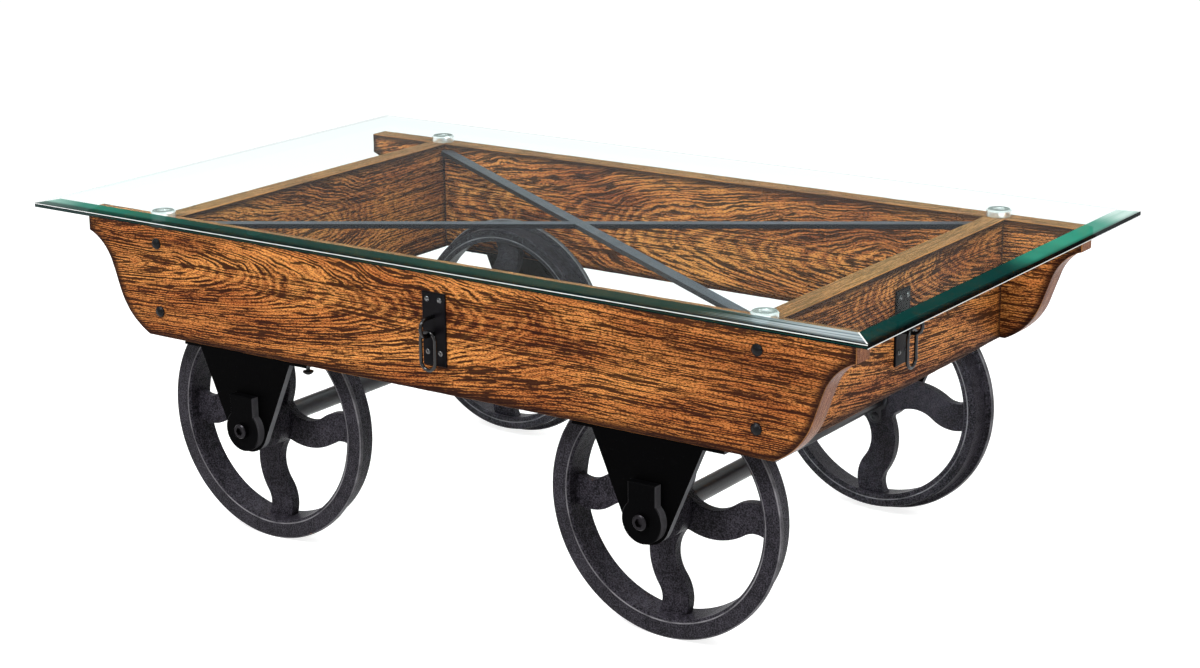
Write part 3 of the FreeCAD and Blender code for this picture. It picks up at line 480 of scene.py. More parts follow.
    def curved_density(self, graph: Graph, places: Places) -> Signal:
        """Gathers the early wood in rings round the pith.

        Args:
            graph: The tree to build in.
            places: Places along the grain, away from the pith and into the board.

        Returns:
            How dense the pores are, about 0.5.
        """
        ripple = graph.drawn(places, self.ripple_scale) - MEAN
        turns = places[1] / self.ring_width + ripple * self.ripple_turns
        ring = 0.5 + 0.5 * graph.math("COSINE", turns * math.tau)
        return weigh(ring, graph.drawn(places, self.band_scale), self.curved_mix)

    def flat_density(self, graph: Graph, places: Places) -> Signal:
        """How dense the pores are, about 0.5, where the early wood lies in straight bands."""
        ring = graph.drawn(places, self.flat_ring_scale)
        return weigh(ring, graph.drawn(places, self.flat_band_scale), self.flat_mix)

    def pores(self, graph: Graph, grain: Grain) -> Signal:
        """Draws the dark pores, which crowd in the early wood and are calmer on the shaped ends.

        Args:
            graph: The tree to build in.
            grain: The grain's values.

        Returns:
            1 in the pores, 0 beside them.
        """
        crowd = (grain.density - MEAN) * self.crowding
        lines = graph.smooth(grain.dash - crowd, *self.pore_range)
        specks = graph.smooth(grain.fine - crowd, *self.speck_range)
        return lines.most(specks * self.speck_share) * (1.0 - grain.end * self.end_calm)

    def wood(self, graph: Graph, grain: Grain, pores: Signal) -> Signal:
        """Mixes the colour of wood and pores, a painted shade on the tops and towards the edges, and arrises
        lightened by wear and a painted highlight.

        Args:
            graph: The tree to build in.
            grain: The grain's values.
            pores: 1 in the pores.

        Returns:
            The colour.
        """
        cloud_share, late_share, fine_share = self.tone_shares
        tone = grain.cloud * cloud_share + (1.0 - grain.density) * late_share + grain.fine * fine_share
        tone = (tone - self.tone_drop).least(1.0).most(0.0)
        colour = graph.ramp(tone, list(zip(self.tone_stops, (self.deep, self.warm, self.bright))))
        colour = graph.blend(pores * self.pore_strength, colour, self.pore)
        # Painted shade: the top faces are dulled and darkened.
        painted_top_shade = grain.top * rise(grain.cloud, *self.painted_top_shade_line)
        colour = graph.blend(painted_top_shade, colour, self.painted_top_shade)
        colour = graph.blend(grain.end * self.end_deepening, colour, self.deep)
        # Painted shade towards the edges, made ragged by cloud and grain.
        near = grain.edge + (grain.cloud - MEAN) * self.edge_shade_cloud + (grain.dash - MEAN) * self.edge_shade_dash
        painted_edge_shade = graph.smooth(near, *self.edge_shade_range) * self.edge_shade_strength
        painted_edge_shade = painted_edge_shade * (1.0 - grain.end * self.edge_shade_off_end) * (1.0 - grain.top * self.edge_shade_off_top)
        colour = graph.blend(painted_edge_shade, colour, self.pore)
        # Arrises lightened towards the bright wood: wear and a painted highlight.
        rubbed = graph.smooth(grain.edge, *self.rub_and_highlight_range) * graph.smooth(grain.cloud, *self.rub_and_highlight_cloud_range)
        return graph.blend(rubbed * self.rub_and_highlight_strength, colour, self.bright)


@dataclass(frozen=True)
class CastIron:
    """Charcoal sand-cast iron, with a fine pimpled skin and bright rim circles, partly wear and partly a
    painted highlight.
    """

    name: str
    centre: Place
    base: Colour = (0.053, 0.048, 0.061)
    dark: Colour = (0.002, 0.0018, 0.003)
    # Worn metal and a painted highlight on the two rim edges.
    worn_and_highlight: Colour = (0.34, 0.33, 0.35)
    highlight_and_wear_circles: tuple[float, ...] = (0.1562, 0.1367)
    highlight_circle_range: Range = (0.0012, 0.00012)
    skin_scale: float = 520.0
    lump_scale: float = 110.0
    stain_scale: float = 16.0
    shade_shares: Scale = (0.3, 0.4, 1.4)
    shade_range: Range = (0.84, 1.34)
    rub_and_highlight_scale: float = 30.0
    rub_and_highlight_range: Range = (0.35, 0.65)
    rub_and_highlight_least: float = 0.35
    rub_and_highlight_strength: float = 0.7
    roughness: float = 0.36
    skin_roughness: float = 0.2
    rub_polish: float = 0.1
    lump_height: float = 0.6
    skin_depth: float = 0.0018
    gloss: float = 0.06

    def material(self) -> bpy.types.Material:
        """Builds the material about the wheel's own axle.

        Returns:
            The wheel's material.
        """
        graph = new_graph(self.name)
        place = graph.place(self.centre)
        x, _, z = graph.split(place)
        radius = (x * x + z * z) ** 0.5
        skin = graph.noise(place, scale=self.skin_scale, detail=3.0, roughness=0.6)
        lumps = graph.noise(place, scale=self.lump_scale, detail=3.0, roughness=0.55)
        stain = graph.noise(place, scale=self.stain_scale, detail=3.0)
        stain_share, lump_share, skin_share = self.shade_shares
        shade = graph.smooth(
            stain * stain_share + lumps * lump_share + skin * skin_share, *self.shade_range)
        # Bright circles at the rim edges, partly worn paint and partly a painted highlight, broken up in
        # patches.
        rubbed = reduce(Signal.most, (
            graph.smooth(abs(radius - circle), *self.highlight_circle_range) for circle in self.highlight_and_wear_circles))
        patches = graph.smooth(graph.noise(place, scale=self.rub_and_highlight_scale, detail=4.0), *self.rub_and_highlight_range)
        rubbed = rubbed * between(patches, self.rub_and_highlight_least, 1.0)
        colour = graph.blend(shade, self.dark, self.base)
        surface = graph.principled({
            "Base Color": graph.blend(rubbed * self.rub_and_highlight_strength, colour, self.worn_and_highlight),
            "Roughness": self.roughness + (skin - MEAN) * self.skin_roughness - rubbed * self.rub_polish,
            "Normal": graph.bump(skin + lumps * self.lump_height, self.skin_depth),
            "Specular IOR Level": self.gloss})
        return graph.finish(surface)


@dataclass(frozen=True)
class Paint:
    """Black or dark paint on metal, with a faint skin, uneven gloss and, if asked, a painted highlight on the
    faces that look one way.
    """

    name: str
    colour: Colour
    rubbed: Colour = (0.06, 0.06, 0.065)
    roughness: float = 0.42
    gloss: float = 0.16
    skin_scale: float = 420.0
    depth: float = 0.0003
    wear: float = 0.25
    # A painted highlight on the faces that look along one axis.
    painted_highlight: Optional[Colour] = None
    highlight_faces: HighlightFaces = HighlightFaces.SIDEWAYS
    highlight_range: Range = (0.40, 0.85)
    highlight_line: Range = (0.5, 0.6)
    patch_scale: float = 38.0
    patch_range: Range = (0.55, 0.75)
    patch_roughness: float = 0.3

    def material(self) -> bpy.types.Material:
        """Builds the material.

        Returns:
            The painted finish.
        """
        graph = new_graph(self.name)
        place = graph.place()
        skin = graph.noise(place, scale=self.skin_scale, detail=3.0, roughness=0.6)
        patches = graph.noise(place, scale=self.patch_scale, detail=4.0, roughness=0.6)
        rub = graph.smooth(patches, *self.patch_range) * self.wear
        colour = graph.blend(rub, self.colour, self.rubbed)
        # Painted highlight on the faces whose normals look along the chosen axis, broken up by the patches.
        if self.painted_highlight:
            normal = graph.split(graph.out(graph.node("ShaderNodeNewGeometry"), "Normal"))
            lit_flank = graph.smooth(abs(normal[self.highlight_faces.value]), *self.highlight_range)
            colour = graph.blend(lit_flank * rise(patches, *self.highlight_line), colour, self.painted_highlight)
        surface = graph.principled({
            "Base Color": colour,
            "Roughness": self.roughness + (patches - MEAN) * self.patch_roughness,
            "Normal": graph.bump(skin, self.depth, strength=0.5),
            "Specular IOR Level": self.gloss})
        return graph.finish(surface)


@dataclass(frozen=True)
class BareMetal:
    """Turned or polished metal with fine marks left by the tool."""

    name: str
    colour: Colour
    roughness: float = 0.18
    metallic: float = 1.0
    mark_scale: Scale = (40.0, 40.0, 900.0)
    smear_scale: Scale = (60.0, 60.0, 60.0)
    smear_strength: float = 0.35
    smear_shade: float = 0.7
    smear_roughness: float = 0.12
    depth: float = 0.00004

    def material(self) -> bpy.types.Material:
        """Builds the material.

        Returns:
            The metal finish.
        """
        graph = new_graph(self.name)
        places = graph.split(graph.place())
        marks = graph.drawn(places, self.mark_scale)
        smear = graph.drawn(places, self.smear_scale, detail=3.0)
        dull = tuple(self.smear_shade * part for part in self.colour)
        surface = graph.principled({
            "Base Color": graph.blend(smear * self.smear_strength, self.colour, dull),
            "Metallic": self.metallic,
            "Roughness": self.roughness + (smear - MEAN) * self.smear_roughness,
            "Normal": graph.bump(marks, self.depth, strength=0.4)})
        return graph.finish(surface)


@dataclass(frozen=True)
class Fade:
    """A soft change of colour along a bevel, with a ragged limit."""

    start: float
    end: float
    ragged: float
    strength: float = 1.0

    def over(self, graph: Graph, place: Signal, stir: Signal) -> Signal:
        """0 before the start and the full strength past the end."""
        return graph.smooth(place + stir * self.ragged, self.start, self.end) * self.strength


@dataclass(frozen=True)
class ClearGlass:
    """Clear sheet glass, green along its ground bevel and edges, with painted reflections, highlights and
    shade there.

    The fades are measured in metres: on the front bevel towards its left end, on the right one towards its
    back end, and the same again half a turn round. The stops are heights, as shares of the ground edge.
    """

    name: str
    half_length: float
    half_width: float
    bevel_width: float
    edge_foot: float
    edge_top: float
    softness: float = 0.0003
    flow_scale: Scale = (7.0, 7.0, 3.0)
    long_streak_scale: Scale = (5.0, 420.0, 420.0)
    short_streak_scale: Scale = (420.0, 5.0, 420.0)
    # Painted light along the bevels: brighter green, a pale reflection and a grey reflection.
    long_painted_light: Fade = Fade(-0.24, -0.56, 0.3, 0.55)
    short_painted_light: Fade = Fade(-0.04, 0.20, 0.2)
    long_pale_reflection: Fade = Fade(-0.53, -0.60, 0.08, 0.5)
    short_pale_reflection: Fade = Fade(0.24, 0.33, 0.08)
    long_grey_reflection: Fade = Fade(0.38, 0.58, 0.2, 0.95)
    pale_reflection_line: Range = (0.4, 0.8)
    grey_reflection_range: Range = (0.35, 0.65)
    rim_range: Range = (0.0010, 0.0004)
    shade_lean: float = 0.004
    shade_range: Range = (0.00966, 0.00276)
    shade_strength: float = 0.75
    # A painted white highlight where the bevels meet.
    mitre_highlight_range: Range = (0.0016, 0.0006)
    mitre_highlight_strength: float = 0.8
    long_stops: tuple[float, ...] = (0.0, 0.35, 0.60, 0.72, 0.78, 0.87, 0.94)
    short_stops: tuple[float, ...] = (0.0, 0.13, 0.22)
    refraction: float = 1.02
    body_roughness: float = 0.06
    body_line: Range = (0.35, 0.90)
    body_most: float = 0.96
    grazing_range: Range = (0.68, 0.86)
    grazing_clears: float = 0.85
    clear: Colour = (0.790, 0.860, 0.855)
    lamp_tint: Colour = (0.66, 0.70, 0.69)
    deep_green: Colour = (0.0025, 0.026, 0.023)
    green: Colour = (0.024, 0.205, 0.140)
    # Painted reflections on the bevel: a pale one and a steel-grey one.
    pale_reflection: Colour = (0.46, 0.58, 0.54)
    steel: Colour = (0.11, 0.15, 0.17)
    bright_grey_reflection: Colour = (0.30, 0.36, 0.38)
    # Painted shade, and the painted dark bands of the ground edge.
    black: Colour = (0.0012, 0.0030, 0.0030)
    # Painted white highlight lines, on the ground edge and at the mitres.
    white: Colour = (0.85, 0.88, 0.87)

    def band(self, graph: Graph, places: Places, long_side: Signal) -> Signal:
        """The colour painted on the bevel: green lit brighter with a painted pale reflection towards one
        corner, and a painted grey reflection towards the other.

        Args:
            graph: The tree to build in.
            places: Places along the sheet, across it and upwards.
            long_side: 1 on the front and back bevels, 0 on the two short ones.

        Returns:
            The colour.
        """
        x, y, _ = places
        flow = graph.drawn(places, self.flow_scale, detail=3.0) - MEAN
        streak = between(
            long_side, graph.drawn(places, self.short_streak_scale),
            graph.drawn(places, self.long_streak_scale))
        along = graph.math("SIGN", y) * x * -1.0
        beside = graph.math("SIGN", x) * y
        # Painted light: the green is lit brighter, and a painted pale reflection is laid towards one end of
        # each bevel.
        bright = between(
            long_side, self.short_painted_light.over(graph, beside, flow), self.long_painted_light.over(graph, along, flow))
        pale_reflection = between(
            long_side, self.short_pale_reflection.over(graph, beside, flow), self.long_pale_reflection.over(graph, along, flow))
        # A painted grey reflection, streaked, on the long bevels.
        grey_reflection_share = self.long_grey_reflection.over(graph, along, streak - MEAN) * long_side
        colour = graph.blend(graph.smooth(flow + bright, 0.0, 1.0), self.deep_green, self.green)
        pale_reflection = pale_reflection * rise(streak, *self.pale_reflection_line).least(1.0)
        colour = graph.blend(pale_reflection, colour, self.pale_reflection)
        steel = graph.blend(graph.smooth(streak, *self.grey_reflection_range), self.steel, self.bright_grey_reflection)
        return graph.blend(grey_reflection_share, colour, steel)

    def painted_rim_colour(self, graph: Graph, z: Signal, long_side: Signal) -> Signal:
        """The ground edge's colour: dark bands with a painted white highlight line, high on the long sides
        and low on the short ones.

        Args:
            graph: The tree to build in.
            z: Height.
            long_side: 1 on the long sides.

        Returns:
            The colour.
        """
        share = (z - self.edge_foot) / (self.edge_top - self.edge_foot)
        # Painted white highlight lines and dark bands across the height of the ground edge.
        long_colours = (
            self.black, self.deep_green, self.black, self.black, self.white, self.white, self.black)
        long_edge = graph.ramp(share, list(zip(self.long_stops, long_colours)))
        short_edge = graph.ramp(share, list(zip(self.short_stops, (self.white, self.white, self.black))))
        return graph.blend(long_side, short_edge, long_edge)

    def material(self) -> bpy.types.Material:
        """Builds the glass, with lamps let through to what lies under it.

        Returns:
            The sheet's material.
        """
        graph = new_graph(self.name)
        places = graph.split(graph.place())
        x, y, z = places
        from_end = self.half_length - abs(x)
        from_side = self.half_width - abs(y)
        inset = from_end.least(from_side)
        bevel = graph.smooth(inset, self.bevel_width + self.softness, self.bevel_width - self.softness)
        rim = graph.smooth(inset, *self.rim_range)
        long_side = graph.smooth(from_end - from_side, -self.softness, self.softness)
        # Painted shade across the bevel, a painted white highlight at the mitres, then the painted lines of
        # the ground edge.
        shade = graph.smooth(inset + (x + y) * self.shade_lean, *self.shade_range)
        mitre_highlight = graph.smooth(abs(from_end - from_side), *self.mitre_highlight_range) * bevel
        colour = graph.blend(shade * self.shade_strength, self.band(graph, places, long_side), self.black)
        colour = graph.blend(mitre_highlight * self.mitre_highlight_strength, colour, self.white)
        colour = graph.blend(rim, colour, self.painted_rim_colour(graph, z, long_side))
        glass = graph.principled({
            "Base Color": self.clear, "Roughness": 0.0, "IOR": self.refraction, "Transmission Weight": 1.0})
        body = graph.principled({
            "Base Color": colour, "Roughness": self.body_roughness, "Specular IOR Level": 0.0})
        facing = graph.out(graph.node("ShaderNodeLayerWeight", None, {"Blend": 0.5}), "Facing")
        path = graph.node("ShaderNodeLightPath")
        clearing = graph.smooth(facing, *self.grazing_range) * self.grazing_clears
        solid = bevel * rise(facing, *self.body_line) * (1.0 - clearing)
        solid = solid.most(rim).least(self.body_most) * (1.0 - graph.out(path, "Is Transmission Ray"))
        open_air = graph.out(graph.node("ShaderNodeBsdfTransparent", None, {"Color": self.lamp_tint}))
        sheet = graph.mix_shaders(solid, glass, body)
        return graph.finish(graph.mix_shaders(graph.out(path, "Is Shadow Ray"), sheet, open_air))


# Pieces


def at_each(kind: str, places: tuple[str, ...] = CORNERS) -> list[str]:
    """The names of one kind of node at each corner or side."""
    return [kind + place for place in places]


def dress_all(finish: Union[Paint, BareMetal, CastIron, ClearGlass], *nodes: str) -> None:
    """Gives every material slot of some CAD nodes one finish.

    Args:
        finish: The finish, whose material they share.
        nodes: The nodes' names.
    """
    material = finish.material()
    for node in nodes:
        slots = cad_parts[node].data.materials
        if not slots:
            slots.append(material)
        for index in range(len(slots)):
            slots[index] = material
        LOG.info("%s wears %s", node, material.name)


def new_piece(name: str, mesh: Mesh, material: bpy.types.Material, body: str,
              stands_for: tuple[str, ...] = ()) -> bpy.types.Object:
    """Makes an object of a finished mesh.

    Args:
        name: The piece's name.
        mesh: The mesh, in place in the row frame; it is freed.
        material: The finish.
        body: The CAD body that it rides on.
        stands_for: CAD nodes that it replaces.

    Returns:
        The new object.
    """
    bmesh.ops.recalc_face_normals(mesh, faces=mesh.faces[:])
    data = bpy.data.meshes.new(name)
    mesh.to_mesh(data)
    mesh.free()
    data.materials.append(material)
    piece = bpy.data.objects.new(name, data)
    bpy.context.scene.collection.objects.link(piece)
    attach(piece, body)
    if stands_for:
        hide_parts(*stands_for)
    LOG.info("%s: %d faces", name, len(data.polygons))
    return piece


@dataclass
class Board:
    """One board of the frame, eased and a little worn along its edges.

    Its own axes are X along the board, Y through its thickness and Z up from its lower edge.
    """

    name: str
    node: str
    finish: Timber
    half_length: float
    height: float
    thick: float
    shaped_ends: bool = False
    foot_reach: float = 0.469
    round_centre: Point = (0.4311, 0.0838)
    round_end: Point = (0.518, 0.0536)
    cove_start: Point = (0.5305, 0.0886)
    cove_centre: Point = (0.5893, 0.0676)
    cove_end: float = 0.1266
    arc_steps: int = 14
    easing: float = 0.0013
    easing_steps: int = 3
    ring_steps: tuple[float, ...] = (0.0014, 0.0021)
    side_steps: tuple[float, ...] = (0.0035, 0.0080)
    edge_reach: float = 0.014
    cell: float = 0.008
    facing: float = 0.9
    cut_merge: float = 0.00002
    top_reach: float = 0.0002
    edge_wear: float = 0.0006
    face_wear: float = 0.00015
    knock_scale: float = 45.0
    knock_fractal: tuple[float, float, int] = (1.0, 2.0, 3)
    knock_lift: float = 0.15
    plane_scale: Scale = (9.0, 30.0, 60.0)
    sharp_from: float = 0.8
    sharp_span: float = 0.2

    def outline(self, mesh: Mesh) -> bmesh.types.BMFace:
        """Draws the board's front face, from the middle of its lower edge round one end, then mirrored.

        Args:
            mesh: The empty mesh.

        Returns:
            The face, on the board's front plane.
        """
        front = -self.thick / 2
        start = self.foot_reach if self.shaped_ends else self.half_length
        tip = mesh.verts.new((start, front, 0.0))
        if self.shaped_ends:
            tip = self.sweep(mesh, tip, self.round_centre, self.round_end)
            tip = self.step(mesh, tip, self.cove_start)
            tip = self.sweep(mesh, tip, self.cove_centre, (self.half_length, self.cove_end))
        self.step(mesh, tip, (self.half_length, self.height))
        bmesh.ops.mirror(mesh, geom=mesh.verts[:] + mesh.edges[:], axis="X", merge_dist=0.0)
        ends = [vert for vert in mesh.verts if len(vert.link_edges) == 1]
        for level in (0.0, self.height):
            mesh.edges.new([vert for vert in ends if abs(vert.co.z - level) < self.easing])
        bmesh.ops.contextual_create(mesh, geom=mesh.edges[:])
        return mesh.faces[:][0]

    @staticmethod
    def step(mesh: Mesh, tip: Vertex, place: Point) -> Vertex:
        """Extrudes the outline in a straight line.

        Args:
            mesh: The outline.
            tip: Its last vertex.
            place: Where the line goes, as (x, z).

        Returns:
            The new tip.
        """
        made = bmesh.ops.extrude_vert_indiv(mesh, verts=[tip])["verts"][0]
        made.co = (place[0], tip.co.y, place[1])
        return made

    def sweep(self, mesh: Mesh, tip: Vertex, centre: Point, place: Point) -> Vertex:
        """Spins the outline's tip in an arc.

        Args:
            mesh: The outline.
            tip: Its last vertex.
            centre: The arc's centre, as (x, z).
            place: Where the arc ends, as (x, z).

        Returns:
            The new tip.
        """
        first = Vector((tip.co.x - centre[0], tip.co.z - centre[1]))
        last = Vector((place[0] - centre[0], place[1] - centre[1]))
        swept = bmesh.ops.spin(
            mesh, geom=[tip], cent=(centre[0], tip.co.y, centre[1]), axis=(0.0, 1.0, 0.0),
            angle=first.angle_signed(last), steps=self.arc_steps, use_duplicate=False)
        return next(item for item in swept["geom_last"] if isinstance(item, Vertex))

    def ease(self, mesh: Mesh) -> None:
        """Rounds the long edges of both faces.

        Args:
            mesh: The plain board.
        """
        faces = sorted(mesh.faces, key=lambda face: face.calc_area())[-2:]
        rims = dict.fromkeys(edge for face in faces for edge in face.edges)
        bmesh.ops.bevel(
            mesh, geom=list(rims), offset=self.easing, segments=self.easing_steps, profile=0.5,
            affect="EDGES", material=-1)

    def divide(self, mesh: Mesh) -> None:
        """Insets rings along both faces and cuts the board into cells, so that wear can bend its surface.

        Args:
            mesh: The board with its edges eased.
        """
        for side in (-1.0, 1.0):
            face = max(mesh.faces, key=lambda item: item.calc_area() * (item.normal.y * side > self.facing))
            for width in self.ring_steps:
                bmesh.ops.inset_region(
                    mesh, faces=[face], thickness=width, use_even_offset=True, use_boundary=True)
        columns = round(2 * self.half_length / self.cell)
        rows = round(self.height / self.cell)
        cuts = [((self.half_length * (2 * index / columns - 1), 0.0, 0.0), (1.0, 0.0, 0.0))
                for index in range(1, columns)]
        cuts += [((0.0, 0.0, self.height * index / rows), (0.0, 0.0, 1.0)) for index in range(1, rows)]
        cuts += [((0.0, side * (self.thick / 2 - step), 0.0), (0.0, 1.0, 0.0))
                 for step in self.side_steps for side in (-1.0, 1.0)]
        for place, normal in cuts:
            bmesh.ops.bisect_plane(
                mesh, geom=mesh.verts[:] + mesh.edges[:] + mesh.faces[:], dist=self.cut_merge,
                plane_co=place, plane_no=normal)

    def mark_edges(self, mesh: Mesh, corners: list[Vector]) -> None:
        """Notes on each vertex how near it lies to the two arrises, and whether on a shaped end or the top.

        Args:
            mesh: The board.
            corners: The outline's points, in order.
        """
        layer = mesh.verts.layers.float.new("edge")
        end = mesh.verts.layers.float.new("end")
        top = mesh.verts.layers.float.new("top")
        stretches = list(zip(corners, corners[1:] + corners[:1]))
        for vert in mesh.verts:
            gap = self.thick / 2 - abs(vert.co.y)
            on_face = gap < self.easing / 2
            on_top = vert.co.z > self.height - self.top_reach
            past_foot = self.shaped_ends and abs(vert.co.x) > self.foot_reach
            vert[top] = float(on_top)
            vert[end] = float(past_foot and gap > self.easing / 2 and not on_top)
            if on_face:
                place = Vector((vert.co.x, vert.co.z))
                gap = min(self.distance(place, *stretch) for stretch in stretches)
            vert[layer] = max(0.0, 1.0 - gap / self.edge_reach)

    @staticmethod
    def distance(place: Vector, start: Vector, end: Vector) -> float:
        """Measures how far a point lies from a straight stretch of the outline.

        Args:
            place: The point.
            start: One end of the stretch.
            end: Its other end.

        Returns:
            The distance in metres.
        """
        way = end - start
        share = min(1.0, max(0.0, (place - start).dot(way) / way.length_squared))
        return (place - start - way * share).length

    def wear(self, mesh: Mesh) -> None:
        """Moves the surface inwards: most along the edges, a little on the planed faces.

        Args:
            mesh: The board with its edges marked.
        """
        layer = mesh.verts.layers.float["edge"]
        mesh.normal_update()
        along, through, up = self.plane_scale
        moves = []
        for vert in mesh.verts:
            place = vert.co + Vector((self.finish.seed, 0.0, 0.0))
            knock = noise.fractal(place * self.knock_scale, *self.knock_fractal)
            knock = max(0.0, knock + self.knock_lift)
            plane = noise.noise(Vector((place.x * along, place.y * through, place.z * up)))
            plane = 0.5 + 0.5 * plane
            sharp = max(0.0, vert[layer] - self.sharp_from) / self.sharp_span
            moves.append(vert.normal * (self.edge_wear * knock * sharp + self.face_wear * plane))
        for vert, move in zip(mesh.verts, moves):
            vert.co -= move

    def build(self) -> bpy.types.Object:
        """Makes the board in its place.

        Returns:
            The board, which stands for its CAD node.
        """
        mesh = bmesh.new()
        face = self.outline(mesh)
        corners = [Vector((vert.co.x, vert.co.z)) for vert in face.verts]
        swept = bmesh.ops.extrude_face_region(mesh, geom=[face])
        moved = [item for item in swept["geom"] if isinstance(item, Vertex)]
        bmesh.ops.translate(mesh, verts=moved, vec=(0.0, self.thick, 0.0))
        bmesh.ops.recalc_face_normals(mesh, faces=mesh.faces[:])
        self.ease(mesh)
        self.divide(mesh)
        self.mark_edges(mesh, corners)
        self.wear(mesh)
        x, y, z = self.finish.centre
        turn = Matrix.Rotation(self.finish.axis.value, 4, "Z")
        bmesh.ops.transform(
            mesh, verts=mesh.verts[:], matrix=Matrix.Translation((x, y, z - self.height / 2)) @ turn)
        return new_piece(self.name, mesh, self.finish.material(), CART, (self.node,))


# Sub-assemblies


@dataclass
class WoodenFrame:
    """The four boards, the flat brace bars let into them and the corner bolts."""

    top: float = 0.410
    underside: float = 0.2564
    outer_y: float = 0.3065
    inner_y: float = 0.276
    end_x: float = 0.4475
    half_length: float = 0.569
    thick: float = 0.0305

    def boards(self) -> list[Board]:
        """Gives each board its own cut of timber.

        Returns:
            The front, back, left and right board.
        """
        y = self.outer_y - self.thick / 2
        middle = (self.top + self.underside) / 2
        tall = self.top - self.underside
        front = Timber("timber_front", (0.0, -y, middle))
        back = Timber(
            "timber_back", (0.0, y, middle), pith_height=-0.01, pith_slope=-0.13, straight_from=0.30,
            straight_to=0.56, seed=4.1, ring_width=0.0034, fineness=0.72)
        left = Timber(
            "timber_left", (-self.end_x, 0.0, middle), Axis.CROSS, pith_slope=0.16, seed=8.3,
            ring_width=0.0030, fineness=0.75)
        right = Timber(
            "timber_right", (self.end_x, 0.0, middle), Axis.CROSS, pith_slope=-0.16, pith_height=0.05,
            straight_from=-0.05, straight_to=-0.20, seed=12.7, fineness=0.7)
        return [
            Board(
                "front_board", "front_side_board", front, self.half_length, tall, self.thick,
                shaped_ends=True),
            Board(
                "back_board", "back_side_board", back, self.half_length, tall, self.thick,
                shaped_ends=True),
            Board("left_board", "left_end_board", left, self.inner_y, tall, self.thick),
            Board("right_board", "right_end_board", right, self.inner_y, tall, self.thick),
        ]

    def build(self) -> None:
        """Makes the boards and dresses the brace and the bolts."""
        for board in self.boards():
            board.build()
        # The brace gets a painted highlight on its top and bottom faces.
        steel = Paint(
            "brace_steel", (0.010, 0.010, 0.014), rubbed=(0.03, 0.03, 0.036), roughness=0.38, gloss=0.12,
            painted_highlight=(0.050, 0.055, 0.068), highlight_faces=HighlightFaces.LEVEL)
        bolts = Paint(
            "bolt_black", (0.003, 0.0025, 0.003), rubbed=(0.010, 0.010, 0.010), roughness=0.24,
            gloss=0.12, depth=0.0012, wear=0.5)
        inserts = BareMetal("insert_steel", (0.5, 0.5, 0.52), roughness=0.3)
        dress_all(steel, "long_brace_bar", "cross_brace_bar")
        dress_all(bolts, "corner_bolts")
        dress_all(inserts, "bolt_inserts")


@dataclass
class GlassTop:
    """The bevelled sheet and its four spacers."""

    half_length: float = 0.610
    half_width: float = 0.3595
    bevel_width: float = 0.023
    foot: float = 0.419
    edge_top: float = 0.4246

    def build(self) -> None:
        """Dresses the sheet, the spacers and their screws."""
        sheet = ClearGlass(
            "sheet_glass", self.half_length, self.half_width, self.bevel_width, self.foot, self.edge_top)
        polished = BareMetal("spacer_metal", (0.93, 0.93, 0.92), roughness=0.14, metallic=0.7)
        screws = BareMetal("screw_steel", (0.62, 0.62, 0.63), roughness=0.25)
        dress_all(sheet, "glass_top")
        dress_all(polished, *at_each("glass_spacer_"))
        dress_all(screws, "spacer_screws")


@dataclass
class RunningGear:
    """Hangers, end blocks, axles and wheels."""

    wheel_x: float = 0.304
    wheel_y: float = 0.2725
    wheel_z: float = 0.157

    def build(self) -> None:
        """Dresses everything under the boards."""
        # The hanger and the end block get a painted highlight on their side faces.
        hanger = Paint(
            "hanger_black", (0.0008, 0.0008, 0.0009), rubbed=(0.004, 0.004, 0.0045), roughness=0.5,
            gloss=0.01, skin_scale=260.0, depth=0.0006, painted_highlight=(0.20, 0.20, 0.21))
        block = Paint(
            "block_black", (0.0012, 0.0012, 0.0014), rubbed=(0.006, 0.006, 0.007), roughness=0.40,
            gloss=0.01, skin_scale=260.0, depth=0.0005, painted_highlight=(0.050, 0.048, 0.052))
        axle = Paint(
            "axle_steel", (0.010, 0.0095, 0.012), rubbed=(0.05, 0.05, 0.055), roughness=0.34, gloss=0.30)
        keeper = Paint("keeper_steel", (0.02, 0.02, 0.024), rubbed=(0.10, 0.10, 0.105), roughness=0.35)
        screws = Paint("screw_black", (0.010, 0.010, 0.011), roughness=0.35)
        zinc = BareMetal("bolt_zinc", (0.016, 0.015, 0.017), roughness=0.34)
        bronze = BareMetal("bearing_bronze", (0.55, 0.38, 0.16), roughness=0.28)
        for corner in CORNERS:
            x = self.wheel_x if corner.endswith("right") else -self.wheel_x
            y = self.wheel_y if corner.startswith("back") else -self.wheel_y
            dress_all(CastIron("cast_iron_" + corner, (x, y, self.wheel_z)), "wheel_" + corner)
        dress_all(hanger, *at_each("axle_hanger_"))
        dress_all(block, *at_each("end_block_"))
        dress_all(bronze, *at_each("hub_bush_"))
        dress_all(keeper, *at_each("hub_keeper_"), *at_each("keeper_screws_"))
        dress_all(screws, "flange_screws")
        dress_all(zinc, "end_bolts")
        dress_all(axle, "left_axle", "right_axle", "thrust_collars")


@dataclass
class HookSets:
    """Plates, staples, links and their screws on the four sides."""

    def build(self) -> None:
        """Dresses the ironwork."""
        plate = Paint(
            "plate_black", (0.0035, 0.003, 0.004), rubbed=(0.012, 0.012, 0.014), roughness=0.34,
            gloss=0.05, depth=0.0004)
        rod = Paint(
            "rod_black", (0.0015, 0.0015, 0.0018), rubbed=(0.010, 0.010, 0.011), roughness=0.12,
            gloss=0.36, skin_scale=300.0)
        screws = Paint(
            "plate_screw_black", (0.020, 0.020, 0.022), rubbed=(0.09, 0.09, 0.09), roughness=0.12,
            gloss=1.0, wear=0.5)
        dress_all(plate, *at_each("hook_plate_", SIDES))
        dress_all(rod, *at_each("hook_staple_", SIDES), *at_each("hook_link_", SIDES))
        dress_all(screws, "plate_screws")


# Studio


